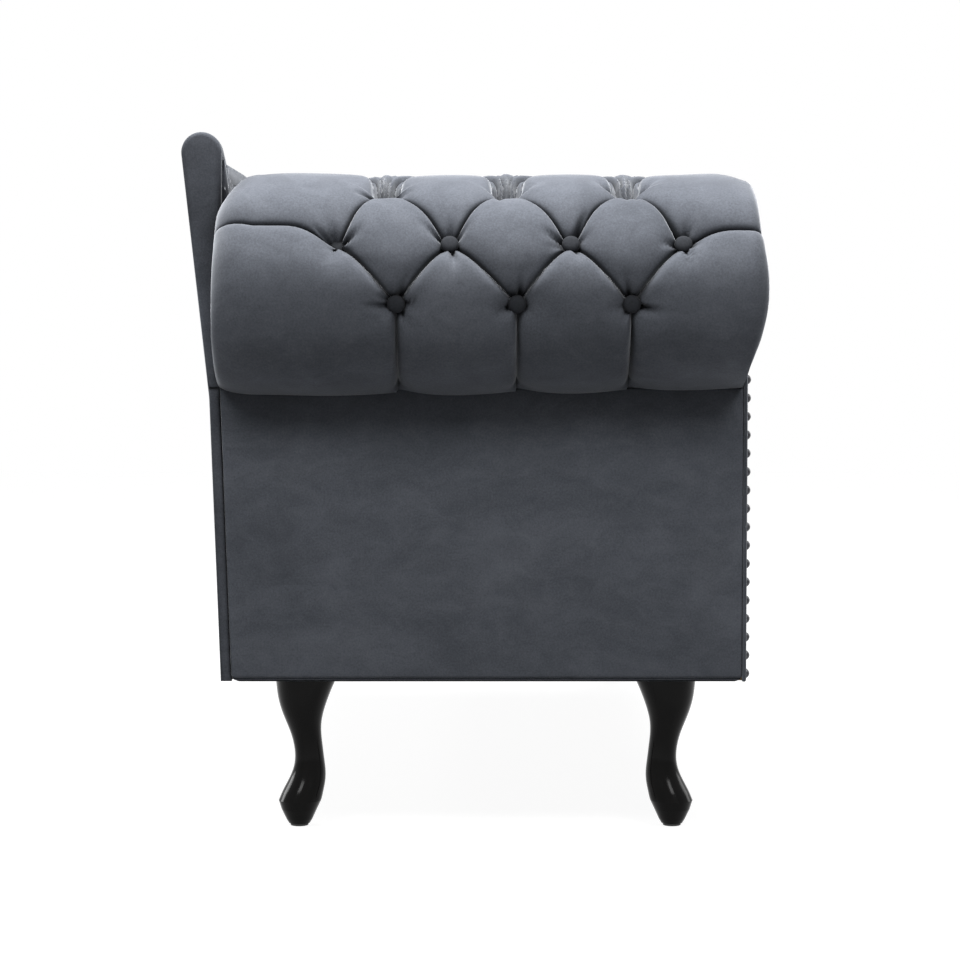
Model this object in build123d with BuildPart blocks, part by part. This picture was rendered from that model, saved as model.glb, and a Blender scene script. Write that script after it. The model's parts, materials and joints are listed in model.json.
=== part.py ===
from build123d import *
import os
from math import asin, atan, ceil, cos, degrees, radians, sin, sqrt, tan

os.makedirs("parts", exist_ok=True)

# Chaise longue with one scrolled arm at the head and a back that sweeps down to the foot.
# Depth runs along X with the back at -X, length along Y with the head at -Y, height along Z.

# Overall sizes
overall_length = 1640
overall_depth = 688
overall_height = 840
leg_height = 186
fit = 0.5

# Borders, rails and plates of the base
border_thick = 12
border_top = 345
rail_thick = 28
rail_height = 100
plate_thick = 3
dust_cover_thick = 1.5
cross_rail_height = 55
cross_rail_places = (-100, 350)
block_leg = 170
block_height = 60

# Scrolled arm at the head
arm_drop = 50
roll_radius = 134
roll_overhang = 104
roll_pad = 37.5
roll_front_bulge = 20
roll_rear_gap = 50
arm_pad_thick = 48
facing_thick = 5
scroll_board_thick = 22
drum_thick = 6
roll_rear_round = 34
arm_rail_width = 110
arm_rail_height = 45

# Back
back_lean_low = 2.0
back_lean_high = 6.2
crest_radius = 24
crest_low_height = 485
crest_rise = 26
crest_rise_run = 66
crest_fall_start = -330
crest_fall_end = 450
back_panel_thick = 12
back_frame_thick = 27
back_pad_thick = 33
back_pad_round = 20
back_post_width = 45
back_post_steps = (-5, -1, 5)
back_rail_height = 45
tack_rail_height = 40
tack_rail_middle = 375
strip_width = 13

# Seat
webbing_width = 60
webbing_thick = 2
webbing_pitch = 110
long_webbing_pitch = 130
hessian_thick = 1.5
seat_crown = 448
seat_edge_height = 424
seat_corner = 45
seat_draw_in = 9
crown_reach = 150
crown_steps = 6
side_steps = 6
welt_radius = 4

# Buttons and pleats
button_radius = 10.5
button_side = 2
button_rise = 4
well_depth = 12
well_mouth = 24
column_pitch = 136
row_angle = 33
lowest_row_angle = -9.4
outer_rows = 3
top_row_angle = 97
inner_row_angle = 32
inner_rows = 5
inner_angle = 180
fold_turn = 41
narrow_row = (411, 271, 139)
wide_row = (479, 349, 209, 79)
pleat_angle = 45
pleat_depth = 9
back_row_pitch = 82
back_rows = 4
back_lowest_row = 500
back_column_start = -478
back_columns = 9
back_field_margin = 66

# Legs
leg_inset_y = 80
leg_inset_rear = 98.5
leg_inset_front = 88
glide_thick = 3
glide_radius = 11
plate_size = 66
plate_corner = 8
screw_spread = 24
screw_radius = 2
screw_head_radius = 4
screw_length = 30
bolt_radius = 4
bolt_in_leg = 35
bolt_above = 30
nail_radius = 5.5
nail_side = 0.6
nail_rise = 3.4
nail_pitch = 22
nail_edge = 9

# Places worked out from the sizes above
head_y = -overall_length / 2 + roll_overhang
foot_y = overall_length / 2
frame_head_y = head_y + border_thick
front_x = overall_depth / 2 - roll_front_bulge
crest_outer_x = -overall_depth / 2
rail_bottom = leg_height + plate_thick
rail_top = rail_bottom + rail_height
roll_y = -overall_length / 2 + roll_radius
roll_z = overall_height - arm_drop - roll_radius
roll_core = roll_radius - roll_pad
roll_offset = roll_y - head_y
crease_z = roll_z - sqrt(roll_radius**2 - roll_offset**2)
arm_inner_y = roll_y + roll_radius
crown_z = overall_height - crest_radius
crest_z = crown_z - crest_rise
back_pad_edge = crest_radius + fit
back_kink_x = crest_outer_x + (crown_z - crease_z) * tan(radians(back_lean_high))
back_foot_x = back_kink_x + (crease_z - leg_height) * tan(radians(back_lean_low))
leg_rear_x = back_foot_x + leg_inset_rear
leg_front_x = front_x - leg_inset_front
rear_rail_x = back_foot_x + border_thick
front_rail_x = front_x - border_thick
roll_rear_x = crest_outer_x + roll_rear_gap
webbing_top = rail_top + 2 * webbing_thick
foam_bottom = webbing_top + hessian_thick

# The back is drawn on its leaning outer face: along the length, up the lean, then inwards
lean = radians(back_lean_high)
back_plane = Plane(origin=(back_kink_x, 0, crease_z), x_dir=(0, 1, 0), z_dir=(cos(lean), 0, sin(lean)))
crown_v = (crown_z - crease_z - crest_radius * sin(lean)) / cos(lean)
crest_high_v = (crest_z - crease_z - crest_radius * sin(lean)) / cos(lean)
crest_low_v = (crest_low_height - crease_z - crest_radius * sin(lean)) / cos(lean)
crest_run = crest_fall_end - crest_fall_start
crest_drop = crest_high_v - crest_low_v
crest_bend = (crest_run**2 + crest_drop**2) / (4 * crest_drop)
crest_foot_y = foot_y - crest_radius
back_frame_w = back_panel_thick + fit
back_pad_w = back_frame_w + back_frame_thick + fit
back_face_w = back_pad_w + back_pad_thick
cushion_bottom = border_top + 2 * welt_radius
seat_rear_x = back_kink_x + (crease_z - cushion_bottom) * tan(lean) + back_face_w / cos(lean) + fit


def s_bend(high, low, drop):
    """Draw an S-bend from a high place down to a low one, lowered by drop."""
    run = low[0] - high[0]
    fall = high[1] - low[1]
    bend = (run**2 + fall**2) / (4 * fall)
    turn = 2 * atan(fall / run)

    def on_upper(angle):
        return (high[0] + (bend - drop) * sin(angle), high[1] - bend + (bend - drop) * cos(angle))

    def on_lower(angle):
        return (low[0] - (bend + drop) * sin(angle), low[1] + bend - (bend + drop) * cos(angle))

    ThreePointArc(on_upper(0), on_upper(turn / 2), on_upper(turn))
    ThreePointArc(on_upper(turn), on_lower(turn / 2), on_lower(0))


def crest_line(drop, end_y, risen):
    """Draw the crest's line from head to foot, lowered by drop, with its rise at the head if risen."""
    rise_end_y = frame_head_y + crest_rise_run
    if risen:
        s_bend((frame_head_y, crown_v), (rise_end_y, crest_high_v), drop)
    else:
        Line((frame_head_y, crest_high_v - drop), (rise_end_y, crest_high_v - drop))
    Line((rise_end_y, crest_high_v - drop), (crest_fall_start, crest_high_v - drop))
    s_bend((crest_fall_start, crest_high_v), (crest_fall_end, crest_low_v), drop)
    Line((crest_fall_end, crest_low_v - drop), (end_y, crest_low_v - drop))


def under_crest(drop, end_y, bottom_v, risen=False):
    """Face of the back below the crest's line, lowered by drop."""
    head_v = (crown_v if risen else crest_high_v) - drop
    with BuildLine(mode=Mode.PRIVATE) as boundary:
        crest_line(drop, end_y, risen)
        Line((end_y, crest_low_v - drop), (end_y, bottom_v))
        Line((end_y, bottom_v), (frame_head_y, bottom_v))
        Line((frame_head_y, bottom_v), (frame_head_y, head_v))
    make_face(boundary.edges())


def crest_height_at(y):
    """How far up the leaning face the crest's centre lies at a place along the length."""
    if y <= crest_fall_start:
        return crest_high_v
    if y >= crest_fall_end:
        return crest_low_v
    if y <= (crest_fall_start + crest_fall_end) / 2:
        return crest_high_v - crest_bend + sqrt(crest_bend**2 - (y - crest_fall_start)**2)
    return crest_low_v + crest_bend - sqrt(crest_bend**2 - (crest_fall_end - y)**2)


def lean_v(z):
    """Distance up the leaning face to a height."""
    return (z - crease_z) / cos(lean)


def cross_section(y):
    """Upright plane across the depth, facing the head, so that drawing on it uses X and Z."""
    return Plane(origin=(0, y, 0), x_dir=(1, 0, 0), z_dir=(0, -1, 0))


def length_section(x):
    """Upright plane along the length, so that drawing on it uses Y and Z."""
    return Plane(origin=(x, 0, 0), x_dir=(0, 1, 0), z_dir=(1, 0, 0))


def finish(piece, name):
    """Label a piece and write it under its name."""
    piece.label = name
    export_step(piece, f"parts/{name}.step")


def box_piece(name, low, high):
    """Board or sheet between two corners."""
    size = [b - a for a, b in zip(low, high)]
    middle = [(a + b) / 2 for a, b in zip(low, high)]
    with BuildPart() as board:
        with Locations(tuple(middle)):
            Box(*size)
    finish(board.part, name)


def pleat(start, end, outward, depth):
    """V-shaped fold along a line, open on the outward side."""
    along = end - start
    rise = well_mouth
    half = (rise + depth) * tan(radians(pleat_angle))
    with BuildPart(mode=Mode.PRIVATE) as fold:
        with BuildSketch(Plane(origin=start, x_dir=outward.cross(along), z_dir=along)):
            with BuildLine():
                Polyline((0, -depth), (half, rise), (-half, rise), close=True)
            make_face()
        extrude(amount=along.length)
    return fold.part


def button_well(seat):
    """Tapered hollow that a button is drawn into, on the plane of the button's underside."""
    with BuildPart(mode=Mode.PRIVATE) as well:
        with BuildSketch(seat):
            Circle(button_radius + fit)
        with BuildSketch(seat.offset(2 * well_depth)):
            Circle(2 * well_mouth - button_radius - fit)
        loft()
    return well.part


def dome(radius, side, rise):
    """Round head with a straight side and a spherical top, standing on its own flat underside."""
    sphere = (radius**2 + rise**2) / (2 * rise)
    half_turn = asin(radius / sphere) / 2
    halfway = (sphere * sin(half_turn), side + rise - sphere * (1 - cos(half_turn)))
    with BuildPart(mode=Mode.PRIVATE) as head:
        with BuildSketch(Plane.XZ):
            with BuildLine():
                Polyline((0, side + rise), (0, 0), (radius, 0), (radius, side))
                ThreePointArc((radius, side), halfway, (0, side + rise))
            make_face()
        revolve(axis=Axis.Z)
    return head.part


def place_buttons(name, seats):
    """Covered buttons, each on its own seat."""
    with BuildPart() as group:
        with Locations(*[seat.location for seat in seats]):
            add(dome(button_radius, button_side, button_rise))
    finish(group.part, name)


# Legs: a bent taper with a knee at the top and a pad foot, toes out on the diagonal
# Each row: height above the floor as drawn, how far the middle stands out, radius
leg_profile = (
    (186, 0.0, 38.0),
    (171, 3.6, 34.6),
    (156, 6.2, 30.4),
    (141, 6.8, 25.8),
    (126, 5.0, 21.4),
    (111, 1.4, 18.5),
    (96, -2.0, 17.5),
    (81, -3.8, 17.9),
    (66, -3.0, 20.2),
    (52, 1.8, 23.2),
    (40, 7.8, 25.2),
    (31, 12.0, 26.0),
)
pad_profile = (
    leg_profile[-1],
    (20, 13.2, 21.6),
    (8, 13.0, 16.0),
    (glide_thick, 13.0, 13.0),
)
drawn_leg_height = leg_profile[0][0]
leg_places = {
    "leg_head_rear": (leg_rear_x, head_y + leg_inset_y, -1, -1),
    "leg_head_front": (leg_front_x, head_y + leg_inset_y, 1, -1),
    "leg_foot_rear": (leg_rear_x, foot_y - leg_inset_y, -1, 1),
    "leg_foot_front": (leg_front_x, foot_y - leg_inset_y, 1, 1),
}
leg_spots = [(x, y) for x, y, _, _ in leg_places.values()]


def leg_ring(x, y, out_x, out_y, drawn_height, stand_out, radius):
    """One round of a leg's profile."""
    rise = (drawn_height - glide_thick) / (drawn_leg_height - glide_thick)
    z = glide_thick + rise * (leg_height - glide_thick)
    shift = stand_out / sqrt(2)
    with BuildSketch(Plane(origin=(x + out_x * shift, y + out_y * shift, z)), mode=Mode.PRIVATE) as ring:
        Circle(radius)
    return ring.sketch


def leg(name, x, y, out_x, out_y):
    """One bent leg on a tapered pad, with the blind hole for its bolt."""
    with BuildPart() as shape:
        loft([leg_ring(x, y, out_x, out_y, *row) for row in leg_profile])
        loft([leg_ring(x, y, out_x, out_y, *row) for row in pad_profile], ruled=True)
        with Locations(Plane(origin=(x, y, leg_height))):
            Hole(radius=bolt_radius, depth=bolt_in_leg)
    finish(shape.part, name)


for leg_name, place in leg_places.items():
    leg(leg_name, *place)

foot_shift = pad_profile[-1][1] / sqrt(2)
glide_spots = [(x + ox * foot_shift, y + oy * foot_shift) for x, y, ox, oy in leg_places.values()]
with BuildPart() as leg_glides:
    with BuildSketch():
        with Locations(*glide_spots):
            Circle(glide_radius)
    extrude(amount=glide_thick)
    chamfer(leg_glides.faces().sort_by(Axis.Z)[:4].edges(), 0.6)
finish(leg_glides.part, "leg_glides")

with BuildPart() as leg_plates:
    with BuildSketch(Plane.XY.offset(leg_height)):
        with Locations(*leg_spots):
            RectangleRounded(plate_size, plate_size, plate_corner)
    extrude(amount=plate_thick)
    with BuildSketch(Plane.XY.offset(leg_height)):
        with Locations(*leg_spots):
            Circle(bolt_radius)
    extrude(amount=plate_thick, mode=Mode.SUBTRACT)
    with Locations(*[Plane(origin=(x, y, leg_height), z_dir=(0, 0, -1)) for x, y in leg_spots]):
        with GridLocations(2 * screw_spread, 2 * screw_spread, 2, 2):
            CounterSinkHole(screw_radius, screw_head_radius, depth=plate_thick)
finish(leg_plates.part, "leg_plates")

with BuildPart() as leg_bolts:
    with BuildSketch(Plane.XY.offset(leg_height - bolt_in_leg)):
        with Locations(*leg_spots):
            Circle(bolt_radius)
    extrude(amount=bolt_in_leg + plate_thick + bolt_above)
    chamfer(leg_bolts.faces().filter_by(Axis.Z).edges(), 1)
finish(leg_bolts.part, "leg_bolts")

screw_corners = [(i * screw_spread, j * screw_spread) for i in (-1, 1) for j in (-1, 1)]
screw_spots = [(x + i, y + j) for x, y in leg_spots for i, j in screw_corners]
head_rise = screw_head_radius - screw_radius
with BuildPart() as plate_screw:
    with BuildSketch(Plane.XZ):
        with BuildLine():
            Polyline(
                (0, 0),
                (screw_head_radius, 0),
                (screw_radius, head_rise),
                (screw_radius, screw_length - head_rise),
                (0, screw_length),
                close=True,
            )
        make_face()
    revolve(axis=Axis.Z)
with BuildPart() as leg_plate_screws:
    with Locations(*[(x, y, leg_height) for x, y in screw_spots]):
        add(plate_screw.part)
finish(leg_plate_screws.part, "leg_plate_screws")

# Base frame: four rails, a rail under the arm's inner face, cross rails and corner blocks
arm_pad_y = arm_inner_y - arm_pad_thick
inner_rail_y = arm_pad_y
box_piece("seat_rail_front", (front_rail_x - rail_thick, frame_head_y, rail_bottom),
          (front_rail_x, foot_y - border_thick, rail_top))
box_piece("seat_rail_rear", (rear_rail_x, frame_head_y, rail_bottom),
          (rear_rail_x + rail_thick, foot_y - border_thick, rail_top))
rail_inner_low = rear_rail_x + rail_thick
rail_inner_high = front_rail_x - rail_thick
box_piece("seat_rail_head", (rail_inner_low, frame_head_y, rail_bottom),
          (rail_inner_high, frame_head_y + rail_thick, rail_top))
box_piece("seat_rail_foot", (rail_inner_low, foot_y - border_thick - rail_thick, rail_bottom),
          (rail_inner_high, foot_y - border_thick, rail_top))
inner_rail_bottom = rail_bottom + block_height
box_piece("seat_rail_inner", (rail_inner_low, inner_rail_y, inner_rail_bottom),
          (rail_inner_high, inner_rail_y + rail_thick, rail_top))

with BuildPart() as cross_rails:
    for rail_y in cross_rail_places:
        with Locations(((rail_inner_low + rail_inner_high) / 2, rail_y, rail_bottom + cross_rail_height / 2)):
            Box(rail_inner_high - rail_inner_low, rail_thick, cross_rail_height)
finish(cross_rails.part, "cross_rails")

corner_low_y = frame_head_y + rail_thick
corner_high_y = foot_y - border_thick - rail_thick
frame_corners = [(x, y, sx, sy) for x, sx in ((rail_inner_low, 1), (rail_inner_high, -1))
                 for y, sy in ((corner_low_y, 1), (corner_high_y, -1))]
with BuildPart() as corner_blocks:
    for x, y, sx, sy in frame_corners:
        with BuildSketch(Plane.XY.offset(rail_bottom)):
            with BuildLine():
                Polyline((x, y), (x + sx * block_leg, y), (x, y + sy * block_leg), close=True)
            make_face()
        extrude(amount=block_height)
    with BuildSketch(Plane.XY.offset(rail_bottom)):
        with Locations(*leg_spots):
            Circle(bolt_radius)
    extrude(amount=block_height, mode=Mode.SUBTRACT)
    with BuildSketch(Plane.XY.offset(rail_bottom)):
        with Locations(*screw_spots):
            Circle(screw_radius)
    extrude(amount=screw_length, mode=Mode.SUBTRACT)
finish(corner_blocks.part, "corner_blocks")

with BuildPart() as dust_cover:
    with BuildSketch(Plane.XY.offset(rail_bottom - dust_cover_thick)):
        with Locations(((rear_rail_x + front_rail_x) / 2, (frame_head_y + foot_y - border_thick) / 2)):
            Rectangle(front_rail_x - rear_rail_x, foot_y - border_thick - frame_head_y)
        with Locations(*leg_spots):
            RectangleRounded(plate_size + fit, plate_size + fit, plate_corner, mode=Mode.SUBTRACT)
    extrude(amount=dust_cover_thick)
finish(dust_cover.part, "dust_cover")

# Webbing across and along the seat, with hessian and a foam slab on it
strap_low_y = inner_rail_y + rail_thick
strap_high_y = foot_y - border_thick - rail_thick
strap_count = int((strap_high_y - strap_low_y) // webbing_pitch)
strap_middle_y = (strap_low_y + strap_high_y) / 2
seat_middle_x = (rear_rail_x + front_rail_x) / 2
frame_depth = front_rail_x - rear_rail_x
with BuildPart() as webbing_across:
    with Locations((seat_middle_x, strap_middle_y, rail_top + webbing_thick / 2)):
        with GridLocations(1, webbing_pitch, 1, strap_count):
            Box(frame_depth, webbing_width, webbing_thick)
finish(webbing_across.part, "webbing_across")

foot_frame_y = foot_y - border_thick
with BuildPart() as webbing_along:
    with Locations((seat_middle_x, (strap_low_y + foot_frame_y) / 2, rail_top + 1.5 * webbing_thick)):
        with GridLocations(long_webbing_pitch, 1, 4, 1):
            Box(webbing_width, foot_frame_y - strap_low_y, webbing_thick)
finish(webbing_along.part, "webbing_along")

seat_head_y = arm_inner_y + fit
box_piece("seat_hessian", (seat_rear_x, seat_head_y, webbing_top), (front_rail_x, foot_frame_y, foam_bottom))
box_piece("seat_foam", (seat_rear_x, seat_head_y, foam_bottom), (front_rail_x, foot_frame_y, cushion_bottom))

# Borders round the base and the welt on their top edge
facing_inner_y = arm_inner_y - roll_pad
box_piece("seat_border_front", (front_rail_x, arm_pad_y + fit, leg_height),
          (front_x, foot_y - border_thick, border_top))
box_piece("seat_border_foot", (rear_rail_x, foot_y - border_thick, leg_height),
          (front_x, foot_y, border_top))

welt_y = foot_y - welt_radius
welt_x = front_x - welt_radius
welt_turn = border_thick
with BuildPart() as seat_welt:
    with BuildLine() as welt_path:
        FilletPolyline(
            (welt_x, seat_head_y, border_top + welt_radius),
            (welt_x, welt_y, border_top + welt_radius),
            (seat_rear_x, welt_y, border_top + welt_radius),
            radius=welt_turn,
        )
    with BuildSketch(Plane(origin=welt_path.line @ 0, z_dir=welt_path.line % 0)):
        Circle(welt_radius)
    sweep()
finish(seat_welt.part, "seat_welt")

# Seat cushion: drawn-in sides and a crowned top
cushion_low = (seat_rear_x, seat_head_y)
cushion_high = (front_x, foot_y)
cushion_middle = [(a + b) / 2 for a, b in zip(cushion_low, cushion_high)]
cushion_size = [b - a for a, b in zip(cushion_low, cushion_high)]
crown_rise = seat_crown - seat_edge_height
cushion_rings = []
for step in range(side_steps):
    rise = step / side_steps
    ring_z = cushion_bottom + rise * (seat_edge_height - cushion_bottom)
    cushion_rings.append((ring_z, seat_draw_in * (2 * rise - 1)**2))
for step in range(crown_steps + 1):
    turn = radians(90 * step / crown_steps)
    ring_inset = seat_draw_in + crown_reach * (1 - cos(turn))
    cushion_rings.append((seat_edge_height + crown_rise * sin(turn), ring_inset))
with BuildPart() as seat_cushion:
    for ring_z, inset in cushion_rings:
        with BuildSketch(Plane(origin=(cushion_middle[0], cushion_middle[1], ring_z))):
            RectangleRounded(cushion_size[0] - 2 * inset, cushion_size[1] - 2 * inset, seat_corner)
    loft(ruled=True)
finish(seat_cushion.part, "seat_cushion")

# Scrolled arm: two shaped boards carry a rail and a bent panel, padded all over


def roll_point(angle, radius):
    """Point of the arm's section, turned up from its outermost side."""
    turn = radians(angle)
    return (roll_y - radius * cos(turn), roll_z + radius * sin(turn))


def keyhole(outer_y, inner_y, bottom_z):
    """Round head of the arm on its straight stem."""
    with Locations((roll_y, roll_z)):
        Circle(roll_core - fit)
    with Locations(((outer_y + inner_y) / 2, (bottom_z + roll_z) / 2)):
        Rectangle(inner_y - outer_y, roll_z - bottom_z)


def scroll_board(name, low_x):
    """Shaped board standing on a seat rail at one end of the arm."""
    with BuildPart() as board:
        with BuildSketch(length_section(low_x)):
            keyhole(frame_head_y, arm_pad_y, rail_top)
        extrude(amount=scroll_board_thick)
    finish(board.part, name)


scroll_front_x = front_rail_x - scroll_board_thick
scroll_rear_x = rear_rail_x + scroll_board_thick
scroll_board("arm_scroll_board_front", scroll_front_x)
scroll_board("arm_scroll_board_rear", rear_rail_x)
box_piece("arm_top_rail", (scroll_rear_x, roll_y - arm_rail_width / 2, roll_z - arm_rail_height / 2),
          (scroll_front_x, roll_y + arm_rail_width / 2, roll_z + arm_rail_height / 2))
box_piece("arm_tack_rail", (rail_inner_low, arm_pad_y, rail_top),
          (rail_inner_high, arm_pad_y + rail_thick, border_top))

with BuildPart() as arm_drum_panel:
    with BuildSketch(length_section(scroll_rear_x)):
        with Locations((roll_y, roll_z)):
            Circle(roll_core - fit)
            Circle(roll_core - fit - drum_thick, mode=Mode.SUBTRACT)
        with Locations(((head_y + arm_pad_y) / 2, roll_z - roll_radius / 2)):
            Rectangle(arm_pad_y - head_y, roll_radius, mode=Mode.SUBTRACT)
    extrude(amount=scroll_front_x - scroll_rear_x)
finish(arm_drum_panel.part, "arm_drum_panel")

with BuildPart() as arm_facing_board:
    with BuildSketch(length_section(front_rail_x)):
        keyhole(frame_head_y, arm_pad_y, leg_height)
    extrude(amount=border_thick)
finish(arm_facing_board.part, "arm_facing_board")

with BuildPart() as arm_front_facing:
    with BuildSketch(length_section(front_x)):
        keyhole(head_y, facing_inner_y, leg_height)
    extrude(amount=facing_thick)
finish(arm_front_facing.part, "arm_front_facing")

# Nail trim along the edge of the front facing
nail_circle = roll_core - fit - nail_edge
nail_outer_y = head_y + nail_edge
nail_inner_y = facing_inner_y - nail_edge
nail_low_z = leg_height + nail_edge
nail_turn_z = roll_z - sqrt(nail_circle**2 - (nail_outer_y - roll_y)**2)
nail_start = degrees(asin((nail_turn_z - roll_z) / nail_circle))
nail_arc = (inner_angle - nail_start) * radians(1) * nail_circle
outer_nails = int((nail_turn_z - nail_low_z) // nail_pitch)
arc_nails = int(nail_arc // nail_pitch)
inner_nails = int((roll_z - nail_low_z) // nail_pitch)
nail_spots = [(nail_outer_y, nail_low_z + i * nail_pitch) for i in range(outer_nails)]
nail_step = (inner_angle - nail_start) / arc_nails
nail_spots += [roll_point(nail_start + nail_step * i, nail_circle) for i in range(arc_nails)]
nail_spots += [(nail_inner_y, nail_low_z + i * nail_pitch) for i in range(inner_nails)]
nail_face = length_section(front_x + facing_thick)
with BuildPart() as facing_nails:
    nail_points = [nail_face.from_local_coords((y, z, 0)) for y, z in nail_spots]
    with Locations(*[Plane(origin=point, z_dir=(1, 0, 0)) for point in nail_points]):
        add(dome(nail_radius, nail_side, nail_rise))
finish(facing_nails.part, "facing_nails")

# End panel below the roll, and the strip of the back beside it
strip_seam_top = back_kink_x + strip_width
strip_seam_bottom = back_foot_x + strip_width
with BuildPart() as arm_end_panel:
    with BuildSketch(cross_section(head_y)):
        with BuildLine():
            Polyline(
                (strip_seam_bottom, leg_height),
                (front_x, leg_height),
                (front_x, crease_z),
                (strip_seam_top, crease_z),
                close=True,
            )
        make_face()
    extrude(amount=-border_thick)
finish(arm_end_panel.part, "arm_end_panel")


def back_xz(up, inward):
    """Depth and height of a point given up the leaning face and inwards from it."""
    return (back_kink_x - up * sin(lean) + inward * cos(lean), crease_z + up * cos(lean) + inward * sin(lean))


with BuildPart() as back_end_strip:
    with BuildSketch(cross_section(head_y)):
        with BuildLine():
            Polyline(
                (back_foot_x, leg_height),
                (back_kink_x, crease_z),
                back_xz(crown_v, 0),
                back_xz(crown_v, 2 * crest_radius),
                (strip_seam_top, crease_z),
                (strip_seam_bottom, leg_height),
                close=True,
            )
        make_face()
        with Locations(back_xz(crown_v, crest_radius)):
            Circle(crest_radius)
    extrude(amount=-border_thick)
finish(back_end_strip.part, "back_end_strip")

# Padded roll: over the drum, down the inside of the arm, with a swollen front edge
crease_angle = degrees(asin((crease_z - roll_z) / roll_radius))
core_crease_z = roll_z - sqrt(roll_core**2 - roll_offset**2)
core_inner_z = roll_z - sqrt(roll_core**2 - (arm_pad_y - roll_y)**2)
swell_start = degrees(asin((core_crease_z - roll_z) / roll_core))
arm_pad_bottom = border_top + fit
swell_radius = roll_radius - roll_pad / 2


def arm_spot(x, angle):
    """Point on the padded surface and its outward direction, past the roll down the flat inside."""
    if angle <= inner_angle:
        y, z = roll_point(angle, roll_radius)
        return Vector(x, y, z), Vector(0, -cos(radians(angle)), sin(radians(angle)))
    return Vector(x, arm_inner_y, roll_z - roll_radius * radians(angle - inner_angle)), Vector(0, 1, 0)


def arm_pleat(start_x, start_angle, end_x, end_angle):
    """Pleat between two places on the arm, of even depth in its middle."""
    turn = radians(min(end_angle, inner_angle) - min(start_angle, inner_angle))
    sag = roll_radius * (1 - cos(turn / 2))
    start, start_out = arm_spot(start_x, start_angle)
    end, end_out = arm_spot(end_x, end_angle)
    return pleat(start, end, start_out + end_out, pleat_depth - sag)


def arm_pleat_run(start_x, start_angle, end_x, end_angle):
    """Pleat that bends round the arm in straight steps."""
    steps = ceil((end_angle - start_angle) / fold_turn)
    step_x = (end_x - start_x) / steps
    step_angle = (end_angle - start_angle) / steps
    spots = [(start_x + step_x * i, start_angle + step_angle * i) for i in range(steps + 1)]
    return [arm_pleat(*start, *end) for start, end in zip(spots, spots[1:])]


arm_row_angles = [lowest_row_angle + row_angle * k for k in range(outer_rows)]
arm_row_angles += [top_row_angle + inner_row_angle * k for k in range(inner_rows)]
arm_row_places = []
for k in range(len(arm_row_angles)):
    from_front = wide_row if k % 2 else narrow_row
    arm_row_places.append([front_x - distance for distance in from_front])
arm_button_seats = []
arm_folds = []
for k, angle in enumerate(arm_row_angles):
    for x in arm_row_places[k]:
        spot, out = arm_spot(x, angle)
        arm_button_seats.append(Plane(origin=spot - out * well_depth, x_dir=(1, 0, 0), z_dir=out))
    if k + 1 < len(arm_row_angles):
        for x in arm_row_places[k]:
            for next_x in arm_row_places[k + 1]:
                if abs(next_x - x) < column_pitch:
                    arm_folds += arm_pleat_run(x, angle, next_x, arm_row_angles[k + 1])
    if k % 2:
        arm_folds.append(arm_pleat(roll_rear_x, angle, arm_row_places[k][0], angle))
        arm_folds.append(arm_pleat(arm_row_places[k][-1], angle, front_x, angle))
for x in arm_row_places[0]:
    arm_folds += arm_pleat_run(x, crease_angle, x, lowest_row_angle)
seat_line_angle = inner_angle + (roll_z - arm_pad_bottom) / (roll_radius * radians(1))
for x in arm_row_places[-1]:
    arm_folds.append(arm_pleat(x, arm_row_angles[-1], x, seat_line_angle))

with BuildPart() as arm_roll:
    with BuildSketch(length_section(roll_rear_x)):
        with BuildLine():
            ThreePointArc(
                roll_point(crease_angle, roll_radius),
                roll_point((crease_angle + inner_angle) / 2, roll_radius),
                roll_point(inner_angle, roll_radius),
            )
            Polyline(
                (arm_inner_y, roll_z),
                (arm_inner_y, arm_pad_bottom),
                (arm_pad_y, arm_pad_bottom),
                (arm_pad_y, core_inner_z),
            )
            ThreePointArc((arm_pad_y, core_inner_z), roll_point(90, roll_core), (head_y, core_crease_z))
            Line((head_y, core_crease_z), (head_y, crease_z))
        make_face()
    extrude(amount=front_x - roll_rear_x)
    rear_edges = arm_roll.edges().filter_by(GeomType.CIRCLE).group_by(Axis.X)[0]
    fillet(rear_edges.sort_by(SortBy.LENGTH)[-1], roll_rear_round)
    with BuildLine(length_section(front_x)) as swell_path:
        ThreePointArc(
            roll_point(swell_start, swell_radius),
            roll_point((swell_start + inner_angle) / 2, swell_radius),
            roll_point(inner_angle, swell_radius),
        )
        Line(roll_point(inner_angle, swell_radius), (arm_inner_y - roll_pad / 2, arm_pad_bottom))
    with BuildSketch(Plane(origin=swell_path.line @ 0, x_dir=(1, 0, 0), z_dir=swell_path.line % 0)):
        Ellipse(roll_front_bulge, roll_pad / 2)
        with Locations((-roll_front_bulge, 0)):
            Rectangle(2 * roll_front_bulge - 2, 2 * roll_pad, mode=Mode.SUBTRACT)
    sweep(path=swell_path.line)
    add(arm_folds, mode=Mode.SUBTRACT)
    add([button_well(seat) for seat in arm_button_seats], mode=Mode.SUBTRACT)
finish(arm_roll.part, "arm_roll")
place_buttons("arm_buttons", arm_button_seats)

# Outside of the back: two leaning faces under the crest
with BuildPart() as outside_back:
    with BuildSketch(cross_section(frame_head_y)):
        with BuildLine():
            Polyline(
                (back_foot_x, leg_height),
                (back_kink_x, crease_z),
                back_xz(crown_v, 0),
                back_xz(crown_v, back_panel_thick),
                (back_kink_x + back_panel_thick, crease_z),
                (back_foot_x + back_panel_thick, leg_height),
                close=True,
            )
        make_face()
    extrude(amount=frame_head_y - foot_y)
    with BuildSketch(back_plane.offset(-overall_depth / 2)):
        under_crest(back_pad_edge, foot_y, -overall_height, risen=True)
    extrude(amount=overall_depth, mode=Mode.INTERSECT)
finish(outside_back.part, "outside_back")

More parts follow.
